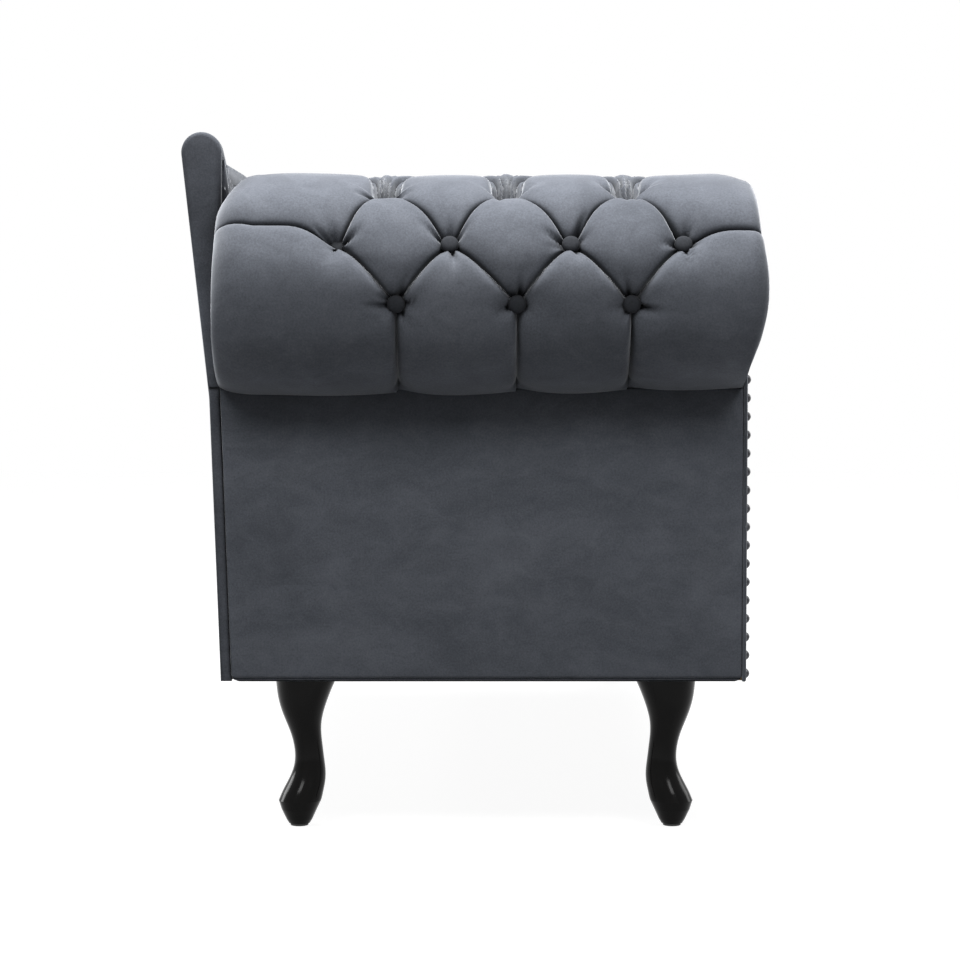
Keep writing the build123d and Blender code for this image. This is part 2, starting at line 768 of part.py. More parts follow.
with BuildPart() as back_crest:
    with BuildLine(back_plane.offset(crest_radius)) as crest_path:
        crest_line(0, crest_foot_y, risen=True)
    with BuildSketch(Plane(origin=crest_path.line @ 0, z_dir=crest_path.line % 0)):
        Circle(crest_radius)
    sweep(path=crest_path.line)
    with Locations(crest_path.line @ 1):
        Sphere(crest_radius)
finish(back_crest.part, "back_crest")

# Frame of the back: posts on the rear rail, a rail under the crest and a tack rail
post_top_drop = back_pad_edge + back_rail_height
post_places = [strap_middle_y + webbing_pitch * step for step in back_post_steps]
with BuildPart() as back_posts:
    with BuildSketch(back_plane.offset(back_frame_w)):
        under_crest(post_top_drop, foot_y, -overall_height)
        with Locations(*[(y, 0) for y in post_places]):
            Rectangle(back_post_width, 2 * overall_height, mode=Mode.INTERSECT)
    extrude(amount=back_frame_thick)
    split(bisect_by=Plane.XY.offset(rail_top), keep=Keep.TOP)
finish(back_posts.part, "back_posts")

with BuildPart() as back_top_rail:
    with BuildSketch(back_plane.offset(back_frame_w)):
        under_crest(back_pad_edge, crest_foot_y, -overall_height, risen=True)
        with BuildSketch(mode=Mode.PRIVATE) as below:
            under_crest(post_top_drop, crest_foot_y, -overall_height)
        add(below.sketch, mode=Mode.SUBTRACT)
    extrude(amount=back_frame_thick)
finish(back_top_rail.part, "back_top_rail")

with BuildPart() as back_tack_rails:
    with BuildSketch(back_plane.offset(back_frame_w)):
        for start, end in zip(post_places, post_places[1:]):
            with Locations(((start + end) / 2, lean_v(tack_rail_middle))):
                Rectangle(end - start - back_post_width, tack_rail_height)
    extrude(amount=back_frame_thick)
finish(back_tack_rails.part, "back_tack_rails")

# Padded inside of the back, buttoned where it stands high enough
back_face = back_plane.offset(back_face_w)
inward = back_plane.z_dir
pad_bottom_v = lean_v(cushion_bottom)
back_button_spots = {}
for k in range(back_rows):
    v = lean_v(back_lowest_row) + back_row_pitch * k
    for j in range(back_columns):
        u = back_column_start + column_pitch * (j + (k % 2) / 2)
        if v <= crest_height_at(u) - back_field_margin:
            back_button_spots[(k, 2 * j + k % 2)] = (u, v)


def back_pleat(start, end):
    """Pleat between two places on the padded face of the back."""
    first = back_face.from_local_coords((start[0], start[1], 0))
    last = back_face.from_local_coords((end[0], end[1], 0))
    return pleat(first, last, inward, pleat_depth)


back_folds = []
back_button_seats = []
for (k, column), (u, v) in back_button_spots.items():
    seat_point = back_face.from_local_coords((u, v, -well_depth))
    back_button_seats.append(Plane(origin=seat_point, x_dir=(0, 1, 0), z_dir=inward))
    upper = [back_button_spots.get((k + 1, column + side)) for side in (-1, 1)]
    for neighbour in upper:
        if neighbour:
            back_folds.append(back_pleat((u, v), neighbour))
    if None in upper:
        back_folds.append(back_pleat((u, v), (u, crest_height_at(u))))
    if k == 0:
        back_folds.append(back_pleat((u, pad_bottom_v), (u, v)))

with BuildPart() as back_pad:
    with BuildSketch(back_plane.offset(back_pad_w)):
        under_crest(back_pad_edge, crest_foot_y, pad_bottom_v)
    extrude(amount=back_pad_thick)
    pad_edges = back_pad.faces().sort_by(SortBy.AREA)[-2:].sort_by(Axis.X)[-1].edges()
    top_edges = pad_edges.filter_by_position(Axis.Z, crest_low_height - 2 * crest_radius, overall_height)
    fillet(top_edges, back_pad_round)
    with BuildSketch(length_section(-overall_depth / 2)):
        with Locations((roll_y, roll_z)):
            Circle(roll_radius + fit)
        with Locations(((2 * head_y + arm_inner_y + fit) / 3, roll_z / 2)):
            Rectangle((arm_inner_y + fit - head_y) * 4 / 3, roll_z)
    extrude(amount=overall_depth, mode=Mode.SUBTRACT)
    add(back_folds, mode=Mode.SUBTRACT)
    add([button_well(seat) for seat in back_button_seats], mode=Mode.SUBTRACT)
finish(back_pad.part, "back_pad")
place_buttons("back_buttons", back_button_seats)

with BuildPart() as back_foot_border:
    with BuildSketch(back_plane.offset(back_frame_w)):
        with Locations(((crest_foot_y + fit + foot_y) / 2, (crest_low_v - back_pad_edge + pad_bottom_v) / 2)):
            Rectangle(foot_y - crest_foot_y - fit, crest_low_v - back_pad_edge - pad_bottom_v)
    extrude(amount=back_face_w - back_frame_w)
finish(back_foot_border.part, "back_foot_border")
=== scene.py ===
import json
from contextlib import contextmanager
from math import asin, cos, degrees, pi, radians, sin, tan

import bpy
import numpy as np
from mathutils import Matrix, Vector


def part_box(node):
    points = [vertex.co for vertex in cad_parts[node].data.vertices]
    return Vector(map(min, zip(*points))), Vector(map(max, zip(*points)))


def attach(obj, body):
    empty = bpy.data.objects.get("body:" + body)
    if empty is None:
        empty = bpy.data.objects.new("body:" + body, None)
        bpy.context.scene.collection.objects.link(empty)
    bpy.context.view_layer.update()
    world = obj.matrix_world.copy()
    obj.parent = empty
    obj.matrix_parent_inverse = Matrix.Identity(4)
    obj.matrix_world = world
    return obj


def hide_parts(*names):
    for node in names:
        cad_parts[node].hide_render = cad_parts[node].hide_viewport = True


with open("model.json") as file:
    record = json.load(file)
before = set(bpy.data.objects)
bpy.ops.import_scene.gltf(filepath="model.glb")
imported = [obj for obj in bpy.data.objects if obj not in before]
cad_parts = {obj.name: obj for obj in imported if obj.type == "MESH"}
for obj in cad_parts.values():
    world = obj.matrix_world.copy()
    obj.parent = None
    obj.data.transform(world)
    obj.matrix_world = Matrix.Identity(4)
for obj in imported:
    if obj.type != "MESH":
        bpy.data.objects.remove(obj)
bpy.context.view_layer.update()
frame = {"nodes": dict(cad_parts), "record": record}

# Places read from the frame, in metres: X across the depth, Y along the length, Z up
panel_low, panel_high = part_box("arm_end_panel")
roll_low, roll_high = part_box("arm_roll")
outside_low, outside_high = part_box("outside_back")
cushion_low, cushion_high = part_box("seat_cushion")
crest_low, crest_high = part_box("back_crest")
pad_low, pad_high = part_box("back_pad")
welt_low, welt_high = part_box("seat_welt")
front_border_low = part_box("seat_border_front")[0]
foot_border_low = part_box("seat_border_foot")[0]
front_x = panel_high[0]
base_z = panel_low[2]
crease_z = panel_high[2]
foot_y = crest_high[1]

# Scroll arm, as built
roll_radius = 0.134
roll_pad = 0.0375
roll_y = roll_low[1] + roll_radius
roll_z = roll_high[2] - roll_radius
roll_rear_x = roll_low[0]
arm_inner_y = roll_high[1]
arm_pad_bottom = roll_low[2]
crease_turn = degrees(asin((crease_z - roll_z) / roll_radius))
inner_turn = 180.0
row_turn = 33.0
lowest_row_turn = -9.4
outer_rows = 3
top_row_turn = 97.0
inner_row_turn = 32.0
inner_rows = 5
arm_rows = outer_rows + inner_rows
narrow_row = (0.411, 0.271, 0.139)
wide_row = (0.479, 0.349, 0.209, 0.079)
button_radius = 0.0105
button_seat = 0.0125
button_dome = 0.0052
button_rim = 0.001
button_under = 0.25

# Back, as built
back_lean = radians(6.2)
crest_radius = 0.024
crest_fall_start = -0.330
crest_fall_end = 0.450
crest_low_height = 0.485
crest_rise = 0.026
crest_rise_run = 0.066
back_column_pitch = 0.136
back_row_pitch = 0.082
back_lowest_row = 0.500
back_column_start = -0.478
back_rows = 4
back_columns = 9
back_field_margin = 0.066
back_pad_depth = 0.0405
back_face_depth = 0.0735

# Places of the back worked out from the frame
back_panel_thick = 0.012
crown_x = crest_low[0] + crest_radius
crown_z = crest_high[2] - crest_radius
crest_head_y = crest_low[1]
crest_rise_end = crest_head_y + crest_rise_run
crown_v = (crown_z - crease_z - crest_radius * sin(back_lean)) / cos(back_lean)
crest_high_v = crown_v - crest_rise / cos(back_lean)
crest_low_v = (crest_low_height - crease_z - crest_radius * sin(back_lean)) / cos(back_lean)
back_kink_x = crown_x + crown_v * sin(back_lean) - crest_radius * cos(back_lean)
back_foot_x = outside_high[0] - back_panel_thick
back_out = np.array((cos(back_lean), 0, sin(back_lean)))

# Camera, at the photograph's angle
camera_place = (0.010, -3.916, 0.617)
camera_pitch = 0.0591
camera_lens = 100.95
camera_sensor = 36.0


def deselect():
    bpy.ops.object.select_all(action="DESELECT")


def choose(piece):
    """Make one piece the only selected and active object."""
    deselect()
    piece.select_set(True)
    bpy.context.view_layer.objects.active = piece


@contextmanager
def editing(piece, select=None):
    """Edit mode on one piece, with what is to be selected: vertices, edges or faces."""
    choose(piece)
    bpy.ops.object.mode_set(mode="EDIT")
    if select:
        bpy.ops.mesh.select_mode(type=select)
    yield
    bpy.ops.object.mode_set(mode="OBJECT")


def select_open_edges():
    bpy.ops.mesh.select_all(action="DESELECT")
    bpy.ops.mesh.select_non_manifold()


def turn_outwards():
    """In edit mode, point all faces outwards."""
    bpy.ops.mesh.select_all(action="SELECT")
    bpy.ops.mesh.normals_make_consistent(inside=False)


def coordinates(piece):
    """All vertex places of a piece as an array."""
    flat = np.empty(len(piece.data.vertices) * 3)
    piece.data.vertices.foreach_get("co", flat)
    return flat.reshape(-1, 3)


def set_coordinates(piece, places):
    piece.data.vertices.foreach_set("co", np.asarray(places, dtype=float).ravel())
    piece.data.update()


def finish_piece(piece, name, material, replaced=(), smooth_angle=50):
    """Name a piece, give it its finish and let it ride on the object."""
    choose(piece)
    piece.name = name
    piece.data.name = name
    bpy.ops.object.transform_apply(location=True, rotation=True, scale=True)
    bpy.ops.object.shade_smooth_by_angle(angle=radians(smooth_angle))
    piece.data.materials.clear()
    piece.data.materials.append(material)
    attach(piece, "root")
    if replaced:
        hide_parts(*replaced)
    return piece


def apply_modifier(piece, kind, **settings):
    """Add a modifier, set it and apply it."""
    choose(piece)
    modifier = piece.modifiers.new(kind.lower(), kind)
    for key, value in settings.items():
        setattr(modifier, key, value)
    bpy.ops.object.modifier_apply(modifier=modifier.name)


def grid_patch(columns, rows):
    """A flat grid with columns by rows faces and the (across, up) share of each of its vertices."""
    deselect()
    bpy.ops.mesh.primitive_grid_add(x_subdivisions=columns, y_subdivisions=rows, size=1)
    piece = bpy.context.object
    shares = coordinates(piece)[:, :2] + 0.5
    return piece, shares


def join_patches(patches, merge=0.0002):
    """Join patches along their shared edges and turn their faces outwards."""
    deselect()
    for patch in patches:
        patch.select_set(True)
    bpy.context.view_layer.objects.active = patches[0]
    bpy.ops.object.join()
    piece = bpy.context.object
    with editing(piece):
        bpy.ops.mesh.select_all(action="SELECT")
        bpy.ops.mesh.remove_doubles(threshold=merge)
        bpy.ops.mesh.dissolve_degenerate(threshold=merge / 2)
        turn_outwards()
    return piece


# Materials


class Nodes:
    """Short way to place and link the nodes of one material."""

    def __init__(self, name):
        self.material = bpy.data.materials.new(name)
        self.material.use_nodes = True
        self.tree = self.material.node_tree
        self.shader = self.tree.nodes["Principled BSDF"]
        self.place = self.tree.nodes.new("ShaderNodeTexCoord").outputs["Object"]

    def add(self, kind, **settings):
        node = self.tree.nodes.new(kind)
        for key, value in settings.items():
            setattr(node, key, value)
        return node

    def link(self, output, socket):
        self.tree.links.new(output, socket)

    def feed(self, output, socket):
        """Link an output to one of the shader's sockets."""
        self.link(output, self.shader.inputs[socket])

    def mapped(self, scale=(1, 1, 1), turn=(0, 0, 0)):
        node = self.add("ShaderNodeMapping")
        node.inputs["Scale"].default_value = scale
        node.inputs["Rotation"].default_value = turn
        self.link(self.place, node.inputs["Vector"])
        return node.outputs["Vector"]

    def noise(self, scale, detail=2.0, roughness=0.5, vector=None, distortion=0.0):
        node = self.add("ShaderNodeTexNoise")
        node.inputs["Scale"].default_value = scale
        node.inputs["Detail"].default_value = detail
        node.inputs["Roughness"].default_value = roughness
        node.inputs["Distortion"].default_value = distortion
        self.link(vector or self.place, node.inputs["Vector"])
        return node.outputs["Fac"]

    def ramp(self, value, stops):
        """Colours by value. A stop with a single tone is grey."""
        node = self.add("ShaderNodeValToRGB")
        elements = node.color_ramp.elements
        while len(elements) < len(stops):
            elements.new(0.5)
        for element, (position, tone) in zip(elements, stops):
            colour = tone if isinstance(tone, tuple) else (tone, tone, tone)
            element.position = position
            element.color = (*colour, 1.0)
        self.link(value, node.inputs["Fac"])
        return node.outputs["Color"]

    def mix(self, first, second, share, blend="MIX"):
        node = self.add("ShaderNodeMix", data_type="RGBA", blend_type=blend)
        for socket, value in ((node.inputs[0], share), (node.inputs[6], first), (node.inputs[7], second)):
            if isinstance(value, bpy.types.NodeSocket):
                self.link(value, socket)
            elif isinstance(value, tuple):
                socket.default_value = (*value, 1.0)
            else:
                socket.default_value = value
        return node.outputs[2]

    def bump(self, height, strength, distance, below=None):
        node = self.add("ShaderNodeBump")
        node.inputs["Strength"].default_value = strength
        node.inputs["Distance"].default_value = distance
        self.link(height, node.inputs["Height"])
        if below:
            self.link(below, node.inputs["Normal"])
        return node.outputs["Normal"]

    def set(self, **values):
        for key, value in values.items():
            self.shader.inputs[key.replace("_", " ")].default_value = value


# Slate velvet: shades of its nap, and painted shade: how light it stays where it is hollow or close under
# another part
velvet_shades = ((0.3, (0.089, 0.097, 0.114)), (0.52, (0.109, 0.118, 0.138)), (0.75, (0.131, 0.141, 0.163)))
velvet_streaks = ((0.35, 0.86), (0.7, 1.10))
velvet_specks = ((0.3, 0.72), (0.7, 1.22))
velvet_sheen_tint = (0.77, 0.80, 0.85, 1.0)
painted_hollow_shade_tones = ((0.1, 0.06), (0.6, 0.48), (0.92, 1.0))
painted_hollow_shade_reach = 0.07
# Painted light on the end strip by height: a painted sheen streak just above its fold, a little lighter
# below it
strip_painted_sheen = ((0.50, 1.15), (0.535, 1.15), (0.57, 2.4), (0.64, 2.4), (0.74, 1.0))


def velvet(name, shade=1.0, sheen=0.8, painted_sheen_heights=None):
    """Short-pile velvet: soft nap marks, fine pile, painted shade darkening its hollows, an optional painted
    sheen band by height, and a light edge sheen.
    """
    m = Nodes(name)
    brushed = m.mapped(scale=(1.0, 1.0, 1.6), turn=(0.25, 0.1, 0.2))
    broad = m.noise(6.0, detail=3.0, roughness=0.55, vector=brushed, distortion=0.6)
    marks = m.noise(22.0, detail=4.0, roughness=0.6, vector=brushed, distortion=1.2)
    pile = m.noise(430.0, detail=3.0, roughness=0.7)
    nap = m.ramp(broad, [(place, tuple(shade * c for c in tone)) for place, tone in velvet_shades])
    colour = m.mix(nap, m.ramp(marks, velvet_streaks), 0.8, "MULTIPLY")
    colour = m.mix(colour, m.ramp(pile, velvet_specks), 0.7, "MULTIPLY")
    # Painted highlight: a lighter band by height, standing in for a sheen streak
    if painted_sheen_heights:
        height = m.add("ShaderNodeSeparateXYZ")
        m.link(m.place, height.inputs["Vector"])
        colour = m.mix(colour, m.ramp(height.outputs["Z"], painted_sheen_heights), 1.0, "MULTIPLY")
    # Painted shade: ambient occlusion darkens the colour in hollows, creases, wells and under nearby parts
    painted_shade_ao = m.add("ShaderNodeAmbientOcclusion", samples=6)
    painted_shade_ao.inputs["Distance"].default_value = painted_hollow_shade_reach
    m.feed(m.mix(colour, m.ramp(painted_shade_ao.outputs["AO"], painted_hollow_shade_tones), 1.0, "MULTIPLY"), "Base Color")
    soft = m.bump(marks, 0.12, 0.002)
    m.feed(m.bump(pile, 0.25, 0.0005, soft), "Normal")
    m.set(Roughness=0.88, Sheen_Weight=sheen, Sheen_Roughness=0.34, Sheen_Tint=velvet_sheen_tint)
    m.set(Specular_IOR_Level=0.15)
    return m.material


def black_lacquer():
    """Gloss black lacquer over wood: faint grain under a clear coat."""
    m = Nodes("black_lacquer_finish")
    grain = m.noise(14.0, detail=5.0, vector=m.mapped(scale=(6.0, 6.0, 0.6)))
    m.feed(m.ramp(grain, ((0.35, (0.0026, 0.0025, 0.0024)), (0.7, (0.0055, 0.0051, 0.0050)))), "Base Color")
    haze = m.noise(40.0, detail=3.0)
    gloss = m.add("ShaderNodeMapRange")
    gloss.inputs["To Min"].default_value = 0.10
    gloss.inputs["To Max"].default_value = 0.19
    m.link(haze, gloss.inputs["Value"])
    m.feed(gloss.outputs["Result"], "Roughness")
    m.feed(m.bump(grain, 0.03, 0.001), "Normal")
    m.set(Specular_IOR_Level=0.09)
    return m.material


def sawn_wood(name, light, dark):
    """Unfinished frame wood with grain along the length."""
    m = Nodes(name)
    grain = m.noise(9.0, detail=6.0, vector=m.mapped(scale=(14.0, 1.2, 14.0)), distortion=0.8)
    m.feed(m.ramp(grain, ((0.35, dark), (0.65, light))), "Base Color")
    m.feed(m.bump(grain, 0.3, 0.001), "Normal")
    m.set(Roughness=0.75)
    return m.material


def plated_metal(name, colour, roughness):
    """Plated steel with a fine brushed haze."""
    m = Nodes(name)
    haze = m.noise(160.0, detail=3.0)
    darker = tuple(0.8 * c for c in colour)
    m.feed(m.ramp(haze, ((0.3, darker), (0.7, colour))), "Base Color")
    m.feed(m.bump(haze, 0.06, 0.0004), "Normal")
    m.set(Metallic=1.0, Roughness=roughness)
    return m.material


def plain_cloth(name, light, dark, thread):
    """Open plain weave or non-woven cloth."""
    m = Nodes(name)
    weave = m.add("ShaderNodeTexChecker")
    weave.inputs["Scale"].default_value = thread
    m.link(m.place, weave.inputs["Vector"])
    fleck = m.noise(260.0, detail=2.0)
    tone = m.ramp(fleck, ((0.3, dark), (0.7, light)))
    m.feed(m.mix(tone, (0.8, 0.8, 0.8), weave.outputs["Fac"], "MULTIPLY"), "Base Color")
    m.feed(m.bump(fleck, 0.4, 0.0006), "Normal")
    m.set(Roughness=0.95)
    return m.material


def moulded_plastic():
    """Fine-textured nylon."""
    m = Nodes("glide_nylon_finish")
    speck = m.noise(700.0)
    m.feed(m.ramp(speck, ((0.3, 0.012), (0.7, 0.02))), "Base Color")
    m.feed(m.bump(speck, 0.15, 0.0003), "Normal")
    m.set(Roughness=0.5)
    return m.material


velvet_cover = velvet("slate_velvet_cover")
# Buttons: a darker copy of the velvet, painted shade for the shade of their wells
velvet_button_painted_shade = velvet("button_velvet_painted_shade", shade=0.28, sheen=0.08)
velvet_piping = velvet("piping_velvet_cover", shade=0.92)
# End strip: a darker copy of the velvet as painted shade, with the painted sheen band by height
velvet_back_painted_light = velvet("back_edge_velvet_painted_light", shade=0.7, sheen=0.25, painted_sheen_heights=strip_painted_sheen)
# Crest: a darker copy of the velvet, painted shade as if shaded between the arm and the back
velvet_crest_painted_shade = velvet("crest_velvet_painted_shade", shade=0.6, sheen=0.2)
node_finishes = {
    "black_lacquer": black_lacquer(),
    "frame_timber": sawn_wood("frame_timber_finish", (0.52, 0.36, 0.20), (0.36, 0.23, 0.12)),
    "frame_plywood": sawn_wood("frame_plywood_finish", (0.55, 0.40, 0.24), (0.42, 0.29, 0.16)),
    "zinc_steel": plated_metal("zinc_steel_finish", (0.60, 0.61, 0.62), 0.35),
    "dark_nailhead": plated_metal("dark_nailhead_finish", (0.055, 0.055, 0.06), 0.3),
    "glide_nylon": moulded_plastic(),
    "elastic_webbing": plain_cloth("elastic_webbing_finish", (0.05, 0.045, 0.04), (0.025, 0.022, 0.02), 300),
    "hessian": plain_cloth("hessian_finish", (0.36, 0.27, 0.15), (0.24, 0.17, 0.09), 500),
    "seat_foam": plain_cloth("seat_foam_finish", (0.70, 0.65, 0.48), (0.60, 0.55, 0.40), 900),
    "dust_cloth": plain_cloth("dust_cloth_finish", (0.014, 0.014, 0.014), (0.008, 0.008, 0.008), 700),
}
slot_of = {row["node"]: row["material_slot"] for row in frame["record"]["subparts"]}
for node_name, node_object in frame["nodes"].items():
    finish = node_finishes.get(slot_of[node_name], velvet_cover)
    node_object.data.materials.clear()
    node_object.data.materials.append(finish)


def finish_cover(piece, node, material=velvet_cover, smooth_angle=50):
    """Finish a velvet cover that stands for one solid."""
    return finish_piece(piece, node + "_cover", material, [node], smooth_angle)


# Tufting shared by the arm and the back: a pleat has a steep lip below it and a slope above it
pleat_depth = 0.0125
pleat_most = 1.1
lip_reach = 0.0030
lip_share = 0.62
slope_reach = 0.020
far_reach = 0.026
slit_depth = 0.006
slit_reach = 0.0014
well_drop = 0.0095
well_reach = 0.020
pillow_rise = 0.0042
pillow_unevenness = 0.0009
pucker_depth = 0.0120
pucker_width = 0.0019
pucker_flare = 0.03
pucker_count = 8
pucker_start = 0.010
pucker_reach = 0.030
pucker_reach_spread = 0.012
pucker_field = 0.05
deepest = 0.033


def segment_distances(points, segments):
    """Distance of each point from each pleat, and on which side of it the point lies."""
    start = segments[:, 0][None]
    along = segments[:, 1][None] - start
    length = np.sum(along**2, axis=2)
    offset = points[:, None] - start
    share = np.clip(np.sum(offset * along, axis=2) / length, 0, 1)
    nearest = offset - share[..., None] * along
    side = np.sign(along[..., 0] * offset[..., 1] - along[..., 1] * offset[..., 0])
    side *= np.where(along[..., 0] <= 0, -1, 1)
    return np.linalg.norm(nearest, axis=2), side


def puckers(points, buttons):
    """Short creases that run out from each button, uneven in bearing, reach and depth."""
    index = np.arange(len(buttons))[:, None]
    number = np.arange(pucker_count)[None]
    bearing = 2 * pi * (number + 0.7 * np.sin(5.1 * index + 2.3 * number)) / pucker_count
    reach = pucker_reach + pucker_reach_spread * np.sin(3.7 * index + 1.9 * number)
    depth = pucker_depth * (0.65 + 0.35 * np.cos(2.9 * index + 4.3 * number))
    way = np.stack([np.cos(bearing), np.sin(bearing)], axis=-1)
    total = np.zeros(len(points))
    for i, button in enumerate(buttons):
        offset = points - button
        near = np.linalg.norm(offset, axis=1) < pucker_field
        out = offset[near] @ way[i].T
        across = offset[near][:, :1] * way[i][:, 1] - offset[near][:, 1:] * way[i][:, 0]
        fade = np.clip(1 - out / reach[i], 0, 1) * np.clip(out / pucker_start, 0, 1)
        width = pucker_width * (1 + out / pucker_flare)
        total[near] += np.sum(depth[i] * fade * np.exp(-(across / width)**2), axis=1)
    return total


def tuft_lift(points, segments, buttons, turn_over=None):
    """How far the padded surface stands out at flat places: full between the pleats, each pleat lying
    over the one above it, and drawn in at the buttons."""
    gap, side = segment_distances(points, segments)
    if turn_over is not None:
        side = np.where(points[:, 1:] > turn_over, -side, side)
    lip = lip_share * np.exp(-gap / lip_reach) + (1 - lip_share) * np.exp(-gap / far_reach)
    lap = np.where(side < 0, lip, np.exp(-gap / slope_reach))
    drawn = np.sum(lap**3, axis=1) ** (1 / 3)
    lift = pillow_rise - pleat_depth * np.minimum(drawn, pleat_most)
    lift -= slit_depth * np.exp(-np.min(gap, axis=1) / slit_reach)
    radius = np.linalg.norm(points[:, None] - buttons[None], axis=2)
    lift -= well_drop * np.max(np.exp(-(radius / well_reach)**1.5), axis=1)
    lift -= puckers(points, buttons)
    u, v = points.T
    lift += pillow_unevenness * np.sin(31 * u + 17 * v) * np.sin(23 * v - 11 * u)
    return np.maximum(lift, -deepest)


# Scroll arm: unrolled into a flat map of place along the arm and length round it
dimple_shifts = (-0.016, -0.012, -0.004)
arm_row_turns = [lowest_row_turn + row_turn * k for k in range(outer_rows)]
arm_row_turns += [top_row_turn + inner_row_turn * k for k in range(inner_rows)]
arm_row_places = [[front_x - d for d in (wide_row if k % 2 else narrow_row)] for k in range(arm_rows)]
arm_row_places[2] = [x + shift for x, shift in zip(arm_row_places[2], dimple_shifts)]
seat_turn = inner_turn + degrees((roll_z - arm_pad_bottom) / roll_radius)
arm_cell_steps = 30
arm_cover_thick = 0.006
edge_crowding = 0.11
pleat_span = 0.1
hem_turn = 6
skirt_tuck = 8.0
front_lap = 0.060
front_fall = 0.010
front_fall_run = 0.045
swell_below = 0.020
swell_below_rate = 1.66
swell_least = -0.010
swell_above = 0.0115
swell_fullest = 0.0085
swell_fullest_turn = 26
rear_lap = 0.050
rear_round_x = 0.040
rear_reach = 0.008
rear_reach_turn = 80
rear_reach_fade = 20
rear_end = roll_rear_x + rear_round_x - rear_lap
rear_cap = 0.080
rear_cap_inset = 0.110
rear_cap_steps = 6
rear_drop_turns = (crease_turn, -30, 30, 150, 180)
rear_drops = (0.010, 0.016, 0.052, 0.050, 0.030)
rear_fall = 0.003
rear_fall_start = -0.200
rear_fall_run = 0.050
upper_turn = 25
upper_fade = 45
underside_lift = 0.007
underside_turn = -30
underside_fade = 40
crease_rise = 0.009
crease_rise_turn = -10
crease_rise_fade = 50
dimple_turn = arm_row_turns[2]
notch_foot = 0.25
notch_foot_share = 0.06
notch_flare = 6
notch_wall = 0.25
notch_sink = 0.020
notch_sink_fade = 1.3
notch_start = 0.04
notch_ripple = 0.009
notch_ripples = 2.5
arch_turns = (-40, -9, 16, 36, 62, 97, 130, 200)
arch_rises = (0, 0.004, 0.006, 0.018, 0.018, 0, -0.010, 0)
arch_reach = 0.024
side_pleat_run = 0.060
side_pleat_turn = 16
rear_pleat_rise = 0.015
rear_pleat_end = 0.022
front_pleat_rise = 0.008
sunk_further = {(1, 0): 0.012, (2, 0): 0.016, (2, 1): 0.016, (2, 2): 0.016}


def round_length(turn):
    return roll_radius * radians(turn)


def front_swell(turn):
    """How far the padding swells out past the front facing, fullest at the outermost side."""
    below = np.maximum(swell_below * np.cos(np.radians(swell_below_rate * turn)), swell_least)
    above = swell_above + swell_fullest * np.exp(-(turn / swell_fullest_turn)**2)
    return np.where(turn > 0, above, below)


def arm_places(along, turn, lift):
    """Places on the padded arm: along it, turned up round it, and lifted off it."""
    past_front = np.clip((along - front_x) / front_lap, 0, 1) * pi
    rear_start = rear_end + rear_lap
    past_rear = np.clip((rear_start - along) / rear_lap, 0, 1) * pi / 2
    capped = np.clip((rear_end - along) / rear_cap, 0, 1)
    rear_drop = np.interp(turn, rear_drop_turns, rear_drops)
    reach = rear_round_x + rear_reach * np.clip((rear_reach_turn - turn) / rear_reach_fade, 0, 1)
    x = np.where(along > front_x, front_x + front_swell(turn) * np.sin(past_front), along)
    x = np.where(along < rear_start, rear_start - reach * np.sin(past_rear), x)
    inset = roll_pad / 2 * (1 - np.cos(past_front)) + rear_drop * (1 - np.cos(past_rear))
    inset += capped * (rear_cap_inset - rear_drop)
    upward = np.clip((turn - upper_turn) / upper_fade, 0, 1)
    inset += upward * front_fall * np.clip(1 + (along - front_x) / front_fall_run, 0, 1)**2
    inset += upward * rear_fall * np.clip((rear_fall_start - along) / rear_fall_run, 0, 1)**2
    inset += underside_lift * np.clip((underside_turn - turn) / underside_fade, 0, 1)
    fade = np.cos(past_front / 2) * np.cos(past_rear)
    radius = roll_radius - inset + lift * fade
    angle = np.radians(np.minimum(turn, inner_turn))
    y = roll_y - radius * np.cos(angle)
    z = roll_z + radius * np.sin(angle) - roll_radius * np.radians(np.maximum(turn - inner_turn, 0))
    forward = np.clip(along / front_x, 0, 1)
    z = z + crease_rise * forward**1.5 * np.clip((crease_rise_turn - turn) / crease_rise_fade, 0, 1)
    return np.stack([x, y, z], axis=1)


def arm_pleats_and_buttons():
    """Pleats and buttons of the arm on its flat map."""
    pleats = []
    buttons = []
    for k, turn in enumerate(arm_row_turns):
        row = [(x, round_length(turn)) for x in arm_row_places[k]]
        buttons += row
        if k + 1 < arm_rows:
            above = [(x, round_length(arm_row_turns[k + 1])) for x in arm_row_places[k + 1]]
            pleats += [(a, b) for a in row for b in above if abs(a[0] - b[0]) < pleat_span]
        if k % 2:
            pleats.append(((rear_end, row[0][1]), row[0]))
            pleats.append((row[-1], (front_x + front_lap, row[-1][1])))
    for x in arm_row_places[0]:
        pleats.append(((x, round_length(crease_turn + hem_turn)), (x, round_length(lowest_row_turn))))
    for x in arm_row_places[-1]:
        pleats.append(((x, round_length(arm_row_turns[-1])), (x, round_length(seat_turn))))
    return np.array(pleats), np.array(buttons)


def eased(share):
    """A share of 0 to 1 that starts and ends gently."""
    return share**2 * (3 - 2 * share)


